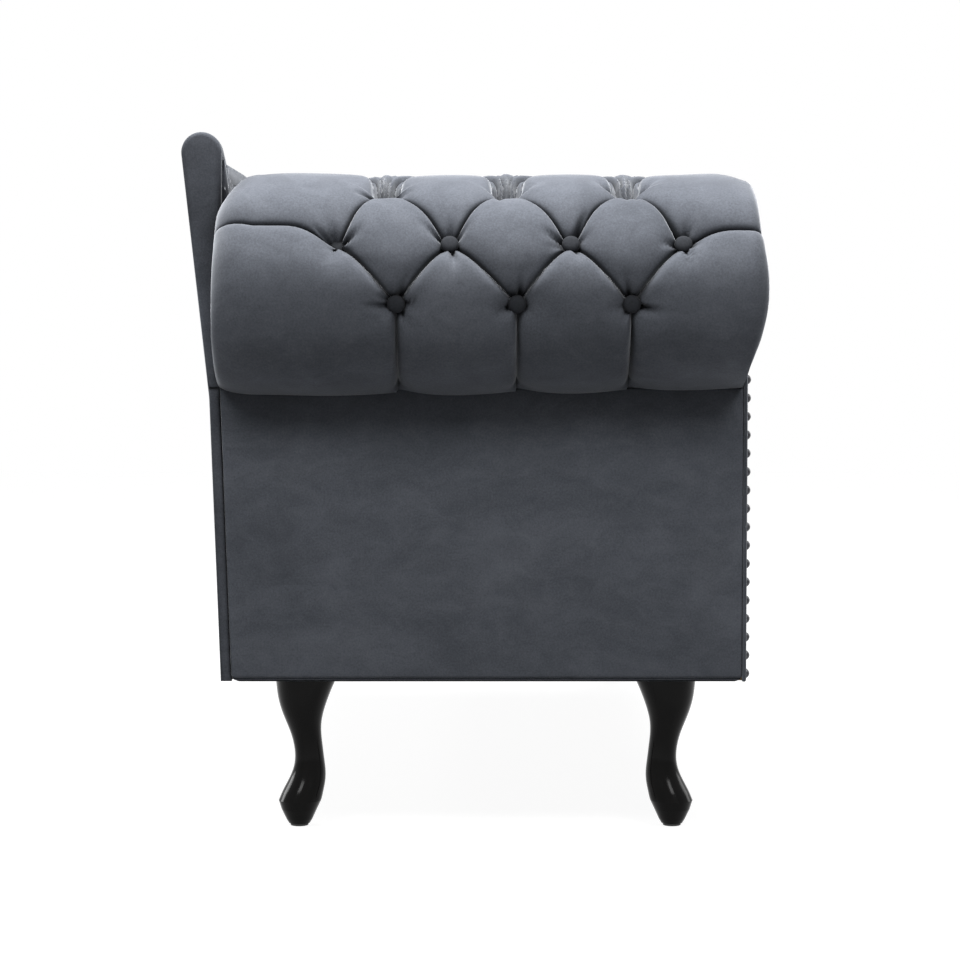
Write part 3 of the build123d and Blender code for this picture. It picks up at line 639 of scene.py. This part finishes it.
def arched(flat, buttons):
    """Move flat places so that the pleats between the buttons rise in arches, steep where they leave a
    lower button and flat where they pass under the one above, and give the depth of the notches over
    the top row."""
    turn = np.degrees(flat[:, 1] / roll_radius)
    share = np.clip((turn - dimple_turn) / (top_row_turn - dimple_turn), 0, 1)
    x = flat[:, 0].copy()
    sink = np.zeros(len(x))
    dimples = np.array(arm_row_places[2])
    wide = np.array(arm_row_places[3])
    inside = (share > 0) & (share < 1) & (x > wide.min()) & (x < wide.max())
    left = np.searchsorted(wide, x[inside]) - 1
    middle = dimples[left]
    side = np.where(x[inside] < middle, -1.0, 1.0)
    width = np.where(side < 0, middle - wide[left], wide[left + 1] - middle)
    out = np.clip(side * (x[inside] - middle) / width, 0, 1)
    edge = share[inside]
    drawn = notch_foot * (1 - np.exp(-edge / notch_foot_share)) + (1 - notch_foot) * edge**notch_flare
    within = out * drawn / edge
    outside = drawn + (out - edge) * (1 - drawn) / (1 - edge)
    x[inside] = middle + side * width * np.where(out <= edge, within, outside)
    wall = eased(np.clip((edge - out) / (notch_wall * edge), 0, 1))
    ripple = (0.5 - 0.5 * np.cos(2 * pi * notch_ripples * out / edge))**2
    depth = notch_sink * (1 - edge)**notch_sink_fade + notch_ripple * ripple
    sink[inside] = wall * depth * (1 - np.exp(-edge / notch_start))
    radius = np.linalg.norm(flat[:, None] - buttons[None], axis=2).min(axis=1)
    rise = np.interp(turn, arch_turns, arch_rises) * (1 - np.exp(-(radius / arch_reach)**2))
    to_rear = eased(np.clip((wide.min() - x) / side_pleat_run, 0, 1))
    to_front = eased(np.clip((x - wide.max()) / side_pleat_run, 0, 1))
    round_rear = np.clip((rear_end + rear_lap - x) / rear_lap, 0, 1)
    ends = rear_pleat_rise * to_rear + rear_pleat_end * round_rear + front_pleat_rise * to_front
    rise += ends * np.exp(-((turn - arm_row_turns[1]) / side_pleat_turn)**2)
    return np.stack([x, flat[:, 1] + rise], axis=1), sink


def arm_cells():
    """Four-cornered cells of the flat map, with pleats along their edges. The corners are low left,
    low right, high left and high right."""
    cells = []
    rear = rear_end
    front = front_x + front_lap
    levels = arm_row_turns
    rows = arm_row_places
    for k in range(arm_rows - 2):
        low, high, top = levels[k:k + 3]
        beside, above = rows[k + 1], rows[k + 2]
        for j, x in enumerate(rows[k]):
            if k % 2 == 0:
                cells.append(((x, low), (beside[j + 1], high), (beside[j], high), (above[j], top)))
            elif 0 < j < len(rows[k]) - 1:
                cells.append(((x, low), (beside[j], high), (beside[j - 1], high), (above[j], top)))
    for k in range(1, arm_rows - 2, 2):
        low, high, top = levels[k:k + 3]
        first, last = rows[k][0], rows[k][-1]
        narrow = rows[k + 1]
        cells.append(((rear, low), (first, low), (rear, high), (narrow[0], high)))
        cells.append(((rear, high), (narrow[0], high), (rear, top), (first, top)))
        cells.append(((last, low), (front, low), (narrow[-1], high), (front, high)))
        cells.append(((narrow[-1], high), (front, high), (last, top), (front, top)))
    skirt = crease_turn - skirt_tuck
    narrow, wide = rows[0], rows[1]
    low, high = levels[0], levels[1]
    cells.append(((rear, skirt), (narrow[0], skirt), (rear, low), (narrow[0], low)))
    cells.append(((rear, low), (narrow[0], low), (rear, high), (wide[0], high)))
    cells.append(((narrow[-1], skirt), (front, skirt), (narrow[-1], low), (front, low)))
    cells.append(((narrow[-1], low), (front, low), (wide[-1], high), (front, high)))
    for left, middle, right in zip(narrow, wide[1:], narrow[1:]):
        cells.append(((left, skirt), (middle, skirt), (left, low), (middle, high)))
        cells.append(((middle, skirt), (right, skirt), (middle, high), (right, low)))
    wide, narrow = rows[-1], rows[-2]
    last, before = levels[-1], levels[-2]
    cells.append(((rear, last), (wide[0], last), (rear, seat_turn), (wide[0], seat_turn)))
    cells.append(((wide[-1], last), (front, last), (wide[-1], seat_turn), (front, seat_turn)))
    for left, middle, right in zip(wide, narrow, wide[1:]):
        cells.append(((left, last), (middle, before), (left, seat_turn), (middle, seat_turn)))
        cells.append(((middle, before), (right, last), (middle, seat_turn), (right, seat_turn)))
    return cells


def closer_at_edges(share):
    """Crowd a share of 0 to 1 towards both ends, where the pleats are."""
    return share - edge_crowding * np.sin(2 * pi * share)


def make_arm_roll():
    """Deep-buttoned cover of the arm, made of cells that meet along the pleats."""
    pleats, buttons = arm_pleats_and_buttons()
    cells = [(corners, arm_cell_steps) for corners in arm_cells()]
    cap_x = rear_end - rear_cap
    for (x, low), _, (_, high), _ in arm_cells():
        if x == rear_end:
            cap = ((cap_x, low), (rear_end, low), (cap_x, high), (rear_end, high))
            cells.append((cap, rear_cap_steps))
    patches = []
    for corners, steps in cells:
        a, b, c, d = [np.array((x, round_length(turn))) for x, turn in corners]
        patch, shares = grid_patch(steps, arm_cell_steps)
        s = closer_at_edges(shares[:, :1])
        t = closer_at_edges(shares[:, 1:])
        flat = (1 - t) * ((1 - s) * a + s * b) + t * ((1 - s) * c + s * d)
        lift = tuft_lift(flat, pleats, buttons, round_length(top_row_turn))
        places, sink = arched(flat, buttons)
        turn = np.degrees(places[:, 1] / roll_radius)
        set_coordinates(patch, arm_places(places[:, 0], turn, np.maximum(lift - sink, -deepest)))
        patches.append(patch)
    return join_patches(patches)


arm_roll = make_arm_roll()
apply_modifier(arm_roll, "SOLIDIFY", thickness=arm_cover_thick, offset=-1.0, use_even_offset=False)
finish_cover(arm_roll, "arm_roll", smooth_angle=60)


def covered_button(seat, outward):
    """A cloth-covered button: a flattened dome with a soft rim."""
    deselect()
    bpy.ops.mesh.primitive_uv_sphere_add(segments=28, ring_count=16, radius=button_radius)
    button = bpy.context.object
    places = coordinates(button)
    flat = np.sqrt(places[:, 0]**2 + places[:, 1]**2) / button_radius
    dome = button_dome * np.sqrt(np.clip(1 - flat**2.6, 0, 1)) + button_rim
    places[:, 2] = np.where(places[:, 2] > 0, dome, places[:, 2] * button_under)
    turned = Vector((0, 0, 1)).rotation_difference(Vector(outward)).to_matrix()
    set_coordinates(button, places @ np.array(turned).T + np.array(seat))
    return button


def arm_button_seats():
    """Place and direction of each button of the arm."""
    seats = []
    for k, turn in enumerate(arm_row_turns):
        angle = radians(min(turn, inner_turn))
        out = np.array((0, -cos(angle), sin(angle)))
        for j, x in enumerate(arm_row_places[k]):
            sunk = button_seat + sunk_further.get((k, j), 0)
            place = arm_places(np.array([x]), np.array([turn]), np.array([-sunk]))[0]
            seats.append((place, out))
    return seats


def make_buttons(seats, name, node):
    """All covered buttons of the arm or the back."""
    piece = join_patches([covered_button(place, out) for place, out in seats], merge=0.00001)
    finish_piece(piece, name, velvet_button_painted_shade, [node])


make_buttons(arm_button_seats(), "arm_covered_buttons", "arm_buttons")


def node_copy(node):
    """A welded copy of a solid from the frame, with its flat faces whole."""
    source = frame["nodes"][node]
    mesh = source.data.copy()
    mesh.transform(source.matrix_world)
    piece = bpy.data.objects.new(node + "_cover", mesh)
    bpy.context.collection.objects.link(piece)
    with editing(piece):
        bpy.ops.mesh.select_all(action="SELECT")
        bpy.ops.mesh.remove_doubles(threshold=0.00005)
        bpy.ops.mesh.dissolve_limited(angle_limit=radians(1))
        bpy.ops.mesh.select_all(action="DESELECT")
    return piece


# Rounded edge of a padded panel: each step goes in from the edge and out from the face
panel_edge_drop = 0.005
narrow_edge_steps = ((0.0005, 0.0020), (0.0010, 0.0014), (0.0015, 0.0010), (0.0020, 0.0005))
broad_edge_steps = narrow_edge_steps + ((0.006, 0.0008), (0.012, 0.0007), (0.02, 0.0005))
crisp_edge_drop = 0.003
crisp_edge_steps = ((0.0003, 0.0012), (0.0006, 0.0009), (0.0010, 0.0006), (0.0014, 0.0003))
facing_edge_drop = 0.0025
facing_edge_steps = ((0.0004, 0.0010), (0.0009, 0.0007), (0.0016, 0.0005), (0.0030, 0.0003))
panel_corner = 0.009
panel_top_tuck = 0.012
panel_edge_reach = 0.001
panel_least_thick = 0.005
strip_fold_z = 0.537
outside_round = 0.005
outside_columns = 200
outside_rows = 80
outside_end_share = 0.03
outside_edge_share = 0.075
outside_fold = 0.010
crest_tuck = 0.012
outside_corner = 0.018
foot_border_drop = 0.005
foot_border_rise = 0.0135


def pad_out(piece, outward, drop, steps):
    """Draw the outer face back at its edge and pad it out from there."""
    facing = Vector(outward)
    for face in piece.data.polygons:
        face.select = face.normal.dot(facing) > 0.9
    with editing(piece, "FACE"):
        bpy.ops.transform.translate(value=-drop * facing)
        for inwards, out in steps:
            bpy.ops.mesh.inset(thickness=inwards, depth=out)
        bpy.ops.mesh.select_all(action="DESELECT")


def round_edges(piece, size, segments):
    """Round the selected edges of a piece."""
    with editing(piece, "EDGE"):
        bpy.ops.mesh.bevel(offset=size, segments=segments)
        bpy.ops.mesh.select_all(action="DESELECT")


def finish_panel(piece, node, material=velvet_cover):
    return finish_cover(piece, node, material, smooth_angle=40)


def plain_panel(node, outward, drop=panel_edge_drop, steps=broad_edge_steps):
    """A flat panel with a soft edge."""
    piece = node_copy(node)
    pad_out(piece, outward, drop, steps)
    return finish_panel(piece, node)


def make_end_panel():
    """Panel below the arm: rounded at its two bottom corners, its top tucked up behind the roll."""
    piece = node_copy("arm_end_panel")
    places = coordinates(piece)
    places[places[:, 2] > crease_z - panel_edge_reach, 2] += panel_top_tuck
    set_coordinates(piece, places)
    for edge in piece.data.edges:
        first, last = [places[i] for i in edge.vertices]
        through = abs(first[1] - last[1]) > panel_least_thick
        edge.select = through and max(first[2], last[2]) < base_z + panel_edge_reach
    round_edges(piece, panel_corner, 6)
    pad_out(piece, (0, -1, 0), crisp_edge_drop, crisp_edge_steps)
    return finish_panel(piece, "arm_end_panel")


def strip_half(above):
    """The end strip above or below the fold that crosses it."""
    piece = node_copy("back_end_strip")
    with editing(piece):
        bpy.ops.mesh.select_all(action="SELECT")
        bpy.ops.mesh.bisect(plane_co=(0, 0, strip_fold_z), plane_no=(0, 0, 1), use_fill=True,
                            clear_inner=above, clear_outer=not above)
        bpy.ops.mesh.select_all(action="DESELECT")
    pad_out(piece, (0, -1, 0), panel_edge_drop, narrow_edge_steps)
    return piece


# Back: drawn on its leaning outer face, along the length, up the lean, then inwards


def up_lean(z):
    """How far up the leaning face a height lies."""
    return (z - crease_z) / cos(back_lean)


seat_v = up_lean(cushion_low[2])
back_first_v = up_lean(back_lowest_row)
pad_head_y = pad_low[1]
pad_foot_y = pad_high[1]
pad_crest_gap = 0.011
back_edge_round = 0.026
foot_seam = 0.006
corner_low_height = 0.62
corner_low_v = up_lean(corner_low_height)
corner_depth = 0.043
corner_fullness = 0.007
corner_gathers = 150.0
corner_slant = 6
corner_overlap = 0.020
back_cell_steps = 18
crest_columns = 420
crest_rows = 36
crest_gather = 0.0004


def back_places(along, up, inward):
    """Places given on the leaning face of the back."""
    x = back_kink_x - up * sin(back_lean) + inward * cos(back_lean)
    z = crease_z + up * cos(back_lean) + inward * sin(back_lean)
    return np.stack([x, along, z], axis=1)


def quarter_round(near):
    """How far a rounded edge falls away, as a share of its size, by nearness to the edge."""
    return 1 - np.sqrt(1 - near**2)


def s_bend(along, high, low):
    """Height of an S-bend that falls from a high place to a low one."""
    run = low[0] - high[0]
    fall = high[1] - low[1]
    bend = (run**2 + fall**2) / (4 * fall)
    upper = high[1] - bend + np.sqrt(bend**2 - np.clip(along - high[0], 0, run / 2)**2)
    lower = low[1] + bend - np.sqrt(bend**2 - np.clip(low[0] - along, 0, run / 2)**2)
    return np.where(along <= high[0] + run / 2, upper, lower)


def crest_height(along):
    """How far up the leaning face the crest's middle lies."""
    along = np.asarray(along, dtype=float)
    rise = s_bend(along, (crest_head_y, crown_v), (crest_rise_end, crest_high_v))
    fall = s_bend(along, (crest_fall_start, crest_high_v), (crest_fall_end, crest_low_v))
    return np.where(along < crest_rise_end, rise, fall)


def crest_slope(along):
    """How steeply the crest rises along the length."""
    step = 0.0005
    return (crest_height(along + step) - crest_height(along - step)) / (2 * step)


def back_floor(along):
    """Lowest place of the back's pad: the seat, or the arm where the arm stands against it."""
    over_arm = roll_z + np.sqrt(np.clip(roll_radius**2 - (along - roll_y)**2, 0, None))
    return np.where(along < arm_inner_y, up_lean(over_arm), seat_v)


def outside_x(z):
    """Where the outside of the back lies at a height: two leaning faces that meet in a soft fold."""
    lower_slope = (back_kink_x - back_foot_x) / (crease_z - base_z)
    above = z - crease_z
    folded = (above + np.sqrt(above**2 + outside_fold**2)) / 2
    return back_foot_x + lower_slope * (z - base_z) - (tan(back_lean) + lower_slope) * folded


def make_outside_back():
    """Outside of the back, with a soft edge and its top tucked up behind the crest."""
    low_y, high_y = outside_low[1], outside_high[1]
    patch, shares = grid_patch(outside_columns, outside_rows)
    along = np.interp(shares[:, 0], (0, outside_end_share, 1 - outside_end_share, 1),
                      (low_y, low_y + outside_round, high_y - outside_round, high_y))
    top = crest_height(along) - crest_tuck * np.sqrt(1 + crest_slope(along)**2)
    corner = np.clip(1 - (high_y - along) / outside_corner, 0, 1)
    top -= outside_corner * quarter_round(corner)
    height = crease_z + top * cos(back_lean) - base_z
    middle = (shares[:, 1] - outside_edge_share) / (1 - 2 * outside_edge_share)
    low_edge = outside_round * shares[:, 1] / outside_edge_share
    high_edge = outside_round * (1 - shares[:, 1]) / outside_edge_share
    rise = outside_round + middle * (height - 2 * outside_round)
    rise = np.where(middle < 0, low_edge, np.where(middle > 1, height - high_edge, rise))
    edge = np.minimum.reduce([rise, height - rise, along - low_y, high_y - along])
    near = np.clip(1 - edge / outside_round, 0, 1)
    x = outside_x(base_z + rise) + outside_round * quarter_round(near)
    set_coordinates(patch, np.stack([x, along, base_z + rise], axis=1))
    piece = join_patches([patch])
    inward = (back_panel_thick - outside_round, 0, 0)
    with editing(piece, "EDGE"):
        select_open_edges()
        bpy.ops.mesh.extrude_edges_move(TRANSFORM_OT_translate={"value": inward})
        bpy.ops.mesh.fill()
        turn_outwards()
    return finish_panel(piece, "outside_back")


def make_back_foot_border():
    """Cover of the back's foot end: it meets the outside of the back and rounds off as the pad does."""
    piece = node_copy("back_foot_border")
    places = coordinates(piece)
    inward = (places[:, 0] - back_kink_x) * cos(back_lean) + (places[:, 2] - crease_z) * sin(back_lean)
    rear = inward < back_face_depth / 2
    low = places[:, 2] < np.mean(places[:, 2])
    places[rear, 0] = outside_x(places[rear, 2]) + back_panel_thick / 2
    places[low, 2] -= foot_border_drop
    places[~low] += foot_border_rise * np.array((-sin(back_lean), 0, cos(back_lean)))
    set_coordinates(piece, places)
    for edge in piece.data.edges:
        edge.select = not any(rear[i] or low[i] for i in edge.vertices)
    round_edges(piece, back_edge_round, 8)
    pad_out(piece, (0, 1, 0), panel_edge_drop, narrow_edge_steps)
    return finish_panel(piece, "back_foot_border")


make_end_panel()
end_strip = join_patches([strip_half(True), strip_half(False)], merge=0.00001)
finish_panel(end_strip, "back_end_strip", velvet_back_painted_light)
make_outside_back()
plain_panel("seat_border_front", (1, 0, 0))
plain_panel("seat_border_foot", (0, 1, 0))
make_back_foot_border()
plain_panel("arm_front_facing", (1, 0, 0), drop=facing_edge_drop, steps=facing_edge_steps)


def back_layout():
    """Buttons and pleats of the back on its leaning face."""
    spots = {}
    for k in range(back_rows):
        v = back_first_v + back_row_pitch * k
        for j in range(back_columns):
            u = back_column_start + back_column_pitch * (j + (k % 2) / 2)
            if v <= crest_height(u) - back_field_margin:
                spots[(k, 2 * j + k % 2)] = (u, v)
    pleats = []
    for (k, column), (u, v) in spots.items():
        upper = [spots.get((k + 1, column + side)) for side in (-1, 1)]
        pleats += [((u, v), other) for other in upper if other]
        if None in upper:
            pleats.append(((u, v), (u, float(crest_height(u)))))
        if k == 0:
            pleats.append(((u, seat_v), (u, v)))
    return np.array(list(spots.values())), np.array(pleats)


def make_back_pad():
    """Deep-buttoned inside of the back, in cells whose corners are the buttons."""
    buttons, pleats = back_layout()
    half = back_column_pitch / 2
    columns = [pad_head_y, back_column_start - half, arm_inner_y]
    u = back_column_start
    while u < pad_foot_y - half / 3:
        columns.append(u)
        u += half
    columns = sorted(columns + [pad_foot_y])
    levels = [seat_v] + [back_first_v + back_row_pitch * k for k in range(back_rows + 1)]
    patches = []
    for left, right in zip(columns, columns[1:]):
        for low, high in zip(levels, levels[1:]):
            patch, shares = grid_patch(back_cell_steps, back_cell_steps)
            along = left + shares[:, 0] * (right - left)
            up = low + shares[:, 1] * (high - low)
            top = crest_height(along) - pad_crest_gap
            up = np.clip(up, np.minimum(back_floor(along - 0.0001), top), top)
            lift = tuft_lift(np.stack([along, up], axis=1), pleats, buttons)
            near = np.clip(1 - (top - up) / back_edge_round, 0, 1)
            near_foot = np.clip(1 - (pad_foot_y - along) / foot_seam, 0, 1)
            lift = lift * (1 - near) - back_edge_round * quarter_round(near)
            lift -= foot_seam * quarter_round(near_foot)
            set_coordinates(patch, back_places(along, up, back_face_depth + lift))
            patches.append(patch)
    patch, shares = grid_patch(3 * back_cell_steps, 2 * back_cell_steps)
    along = crest_head_y + shares[:, 0] * (pad_head_y + corner_overlap - crest_head_y)
    top = crest_height(along) - pad_crest_gap
    up = corner_low_v + shares[:, 1] * (top - corner_low_v)
    gathers = np.abs(np.sin(corner_gathers * along + corner_slant * shares[:, 1]))
    set_coordinates(patch, back_places(along, up, corner_depth + corner_fullness * np.sqrt(gathers)))
    patches.append(patch)
    piece = join_patches(patches, merge=0.0004)
    return piece, buttons


def close_behind(piece, depth):
    """Carry the open edge of the back's pad down to its flat underside and fill it."""
    with editing(piece, "EDGE"):
        select_open_edges()
        bpy.ops.mesh.extrude_edges_move()
    places = coordinates(piece)
    chosen = np.array([v.select for v in piece.data.vertices])
    foot = np.array((back_kink_x, 0, crease_z))
    height = (places - foot) @ back_out
    places[chosen] -= np.outer(height[chosen] - depth, back_out)
    set_coordinates(piece, places)
    with editing(piece):
        bpy.ops.mesh.fill()
        turn_outwards()


back_pad, back_buttons_flat = make_back_pad()
close_behind(back_pad, back_pad_depth)
finish_cover(back_pad, "back_pad", smooth_angle=60)

back_seats = back_places(back_buttons_flat[:, 0], back_buttons_flat[:, 1], back_face_depth - button_seat)
make_buttons([(place, back_out) for place in back_seats], "back_covered_buttons", "back_buttons")


def make_crest():
    """Padded roll along the top of the back, rounded off at the foot."""
    end = foot_y - crest_radius
    patch, shares = grid_patch(crest_columns, crest_rows)
    along = crest_head_y + shares[:, 0] * (foot_y - crest_head_y)
    path = np.minimum(along, end)
    slope = crest_slope(path)
    run = np.sqrt(1 + slope**2)
    turn = 2 * pi * shares[:, 1]
    radius = crest_radius * np.sqrt(np.clip(1 - ((along - path) / crest_radius)**2, 0, 1))
    gather = crest_gather * np.sin(170 * along) * np.sin(61 * along + 2 * np.cos(turn))
    gather = gather * np.clip(4 * np.abs(slope), 0, 1)
    radius = radius * (1 + gather / crest_radius)
    up = crest_height(path) + radius * np.cos(turn) / run
    side = along - radius * np.cos(turn) * slope / run
    set_coordinates(patch, back_places(side, up, crest_radius + radius * np.sin(turn)))
    piece = join_patches([patch], merge=0.00002)
    with editing(piece, "EDGE"):
        select_open_edges()
        bpy.ops.mesh.edge_face_add()
        turn_outwards()
    return piece


finish_cover(make_crest(), "back_crest", velvet_crest_painted_shade)

# Seat cushion and the piping below it
cushion_voxel = 0.009
cushion_swell = 0.008
cushion_pressure = 4
cushion_moments = 20
cushion_held = 0.012
cushion_skirt = 0.030
skirt_drop = 0.008
skirt_spread = 0.004
cushion_corner = 0.031
cushion_corner_run = 0.050
welt_corner = 0.012
welt_corner_steps = 12


def make_seat_cushion():
    """Loose-filled seat cushion: the built form, blown up gently by cloth pressure."""
    piece = node_copy("seat_cushion")
    choose(piece)
    piece.data.remesh_voxel_size = cushion_voxel
    bpy.ops.object.voxel_remesh()
    flat = coordinates(piece)
    low = np.clip(1 - (flat[:, 2] - cushion_low[2]) / cushion_skirt, 0, 1)
    middle = (np.array(cushion_low) + np.array(cushion_high)) / 2
    flat[:, 2] -= skirt_drop * low
    side = np.sign(flat[:, :2] - middle[:2])
    reach = np.array(cushion_high[:2]) - middle[:2] - cushion_corner_run
    corner = np.prod(np.clip((np.abs(flat[:, :2] - middle[:2]) - reach) / cushion_corner_run, 0, 1), axis=1)
    spread = (skirt_spread * (low < 0.999) + cushion_corner * corner) * low
    flat[:, :2] += spread[:, None] * side
    set_coordinates(piece, flat)
    held = piece.vertex_groups.new(name="held")
    bottom = [i for i, place in enumerate(flat) if place[2] < cushion_low[2] + cushion_held]
    held.add(bottom, 1.0, "REPLACE")
    cloth = piece.modifiers.new("cloth", "CLOTH")
    cloth.settings.use_pressure = True
    cloth.settings.uniform_pressure_force = cushion_pressure
    cloth.settings.vertex_group_mass = "held"
    cloth.settings.effector_weights.gravity = 0
    cloth.settings.quality = 4
    cloth.point_cache.frame_start = 1
    cloth.point_cache.frame_end = cushion_moments
    scene = bpy.context.scene
    for moment in range(1, cushion_moments + 1):
        scene.frame_set(moment)
    choose(piece)
    bpy.ops.object.modifier_apply(modifier=cloth.name)
    scene.frame_set(1)
    blown = coordinates(piece)
    move = blown - flat
    length = np.linalg.norm(move, axis=1, keepdims=True)
    move *= np.minimum(1, cushion_swell / np.maximum(length, 1e-9))
    set_coordinates(piece, flat + move)
    return piece


seat_cushion = make_seat_cushion()
apply_modifier(seat_cushion, "SUBSURF", levels=1, render_levels=1)
finish_cover(seat_cushion, "seat_cushion")


def make_seat_welt():
    """Piping along the top of the front and foot borders."""
    radius = (welt_high[2] - welt_low[2]) / 2
    z = welt_low[2] + radius
    x = welt_high[0] - radius
    y = welt_high[1] - radius
    route = [(x, front_border_low[1], z)]
    for step in range(welt_corner_steps + 1):
        angle = pi / 2 * step / welt_corner_steps
        across = x - welt_corner + welt_corner * cos(angle)
        along = y - welt_corner + welt_corner * sin(angle)
        route.append((across, along, z))
    route.append((foot_border_low[0], y, z))
    line = bpy.data.curves.new("seat_welt_line", "CURVE")
    line.dimensions = "3D"
    line.bevel_depth = radius
    line.bevel_resolution = 5
    line.use_fill_caps = True
    spline = line.splines.new("POLY")
    spline.points.add(len(route) - 1)
    for point, place in zip(spline.points, route):
        point.co = (*place, 1)
    piece = bpy.data.objects.new("seat_welt_line", line)
    bpy.context.collection.objects.link(piece)
    choose(piece)
    bpy.ops.object.convert(target="MESH")
    return bpy.context.object


finish_piece(make_seat_welt(), "seat_welt_cover", velvet_piping, ["seat_welt"])

# Camera, light and floor
floor_size = 14
floor_z = -0.0005
floor_grey = 0.2
floor_glow = 0.9
world_light = 0.05


def make_camera():
    camera = bpy.data.cameras.new("camera")
    camera.lens = camera_lens
    camera.sensor_width = camera_sensor
    camera.sensor_fit = "HORIZONTAL"
    holder = bpy.data.objects.new("camera", camera)
    holder.location = camera_place
    holder.rotation_euler = (pi / 2 - camera_pitch, 0, 0)
    bpy.context.collection.objects.link(holder)
    bpy.context.scene.camera = holder


def area_light(name, place, target, size, power):
    light = bpy.data.lights.new(name, "AREA")
    light.shape = "RECTANGLE"
    light.size, light.size_y = size
    light.energy = power
    holder = bpy.data.objects.new(name, light)
    holder.location = place
    holder.rotation_euler = (Vector(target) - Vector(place)).to_track_quat("-Z", "Y").to_euler()
    bpy.context.collection.objects.link(holder)


def seen_white(tree):
    """One where the camera, a reflection or a clear piece sees the surface, nought for all other light."""
    path = tree.nodes.new("ShaderNodeLightPath")
    seen = path.outputs["Is Camera Ray"]
    for ray in ("Is Glossy Ray", "Is Transmission Ray"):
        either = tree.nodes.new("ShaderNodeMath")
        either.operation = "MAXIMUM"
        tree.links.new(seen, either.inputs[0])
        tree.links.new(path.outputs[ray], either.inputs[1])
        seen = either.outputs[0]
    return seen


def make_world():
    world = bpy.data.worlds.new("studio")
    world.use_nodes = True
    bpy.context.scene.world = world
    tree = world.node_tree
    background = tree.nodes["Background"]
    background.inputs["Color"].default_value = (1, 1, 1, 1)
    seen = seen_white(tree)
    strength = tree.nodes.new("ShaderNodeMapRange")
    strength.inputs["To Min"].default_value = world_light
    strength.inputs["To Max"].default_value = 1.0
    tree.links.new(seen, strength.inputs["Value"])
    tree.links.new(strength.outputs["Result"], background.inputs["Strength"])


def make_floor():
    """Floor that looks white and still shows the shadow."""
    deselect()
    bpy.ops.mesh.primitive_plane_add(size=floor_size, location=(0, 0, floor_z))
    floor = bpy.context.object
    floor.name = "studio_floor"
    material = bpy.data.materials.new("pale_floor")
    material.use_nodes = True
    tree = material.node_tree
    shader = tree.nodes["Principled BSDF"]
    shader.inputs["Base Color"].default_value = (floor_grey, floor_grey, floor_grey, 1)
    shader.inputs["Roughness"].default_value = 0.9
    shader.inputs["Emission Color"].default_value = (1, 1, 1, 1)
    glow = tree.nodes.new("ShaderNodeMath")
    glow.operation = "MULTIPLY"
    glow.inputs[1].default_value = floor_glow
    tree.links.new(seen_white(tree), glow.inputs[0])
    tree.links.new(glow.outputs[0], shader.inputs["Emission Strength"])
    floor.data.materials.append(material)


make_camera()
make_world()
make_floor()
area_light("top_softbox", (0.0, -0.78, 2.6), (0, -0.74, 0.6), (1.4, 0.6), 102)
area_light("left_softbox", (-1.05, -2.20, 2.55), (0, -0.72, 0.42), (0.75, 0.9), 28)
area_light("right_softbox", (1.15, -2.30, 2.55), (0, -0.72, 0.42), (0.75, 0.9), 25)
area_light("left_fill", (-2.8, 0.9, 1.5), (0, 0.2, 0.45), (1.2, 1.2), 45)
area_light("right_fill", (2.8, 0.9, 1.5), (0, 0.2, 0.45), (1.2, 1.2), 20)
area_light("foot_fill", (0.3, 3.2, 2.0), (0, 0.4, 0.5), (1.4, 1.0), 38)

bpy.context.scene.view_settings.view_transform = "Standard"
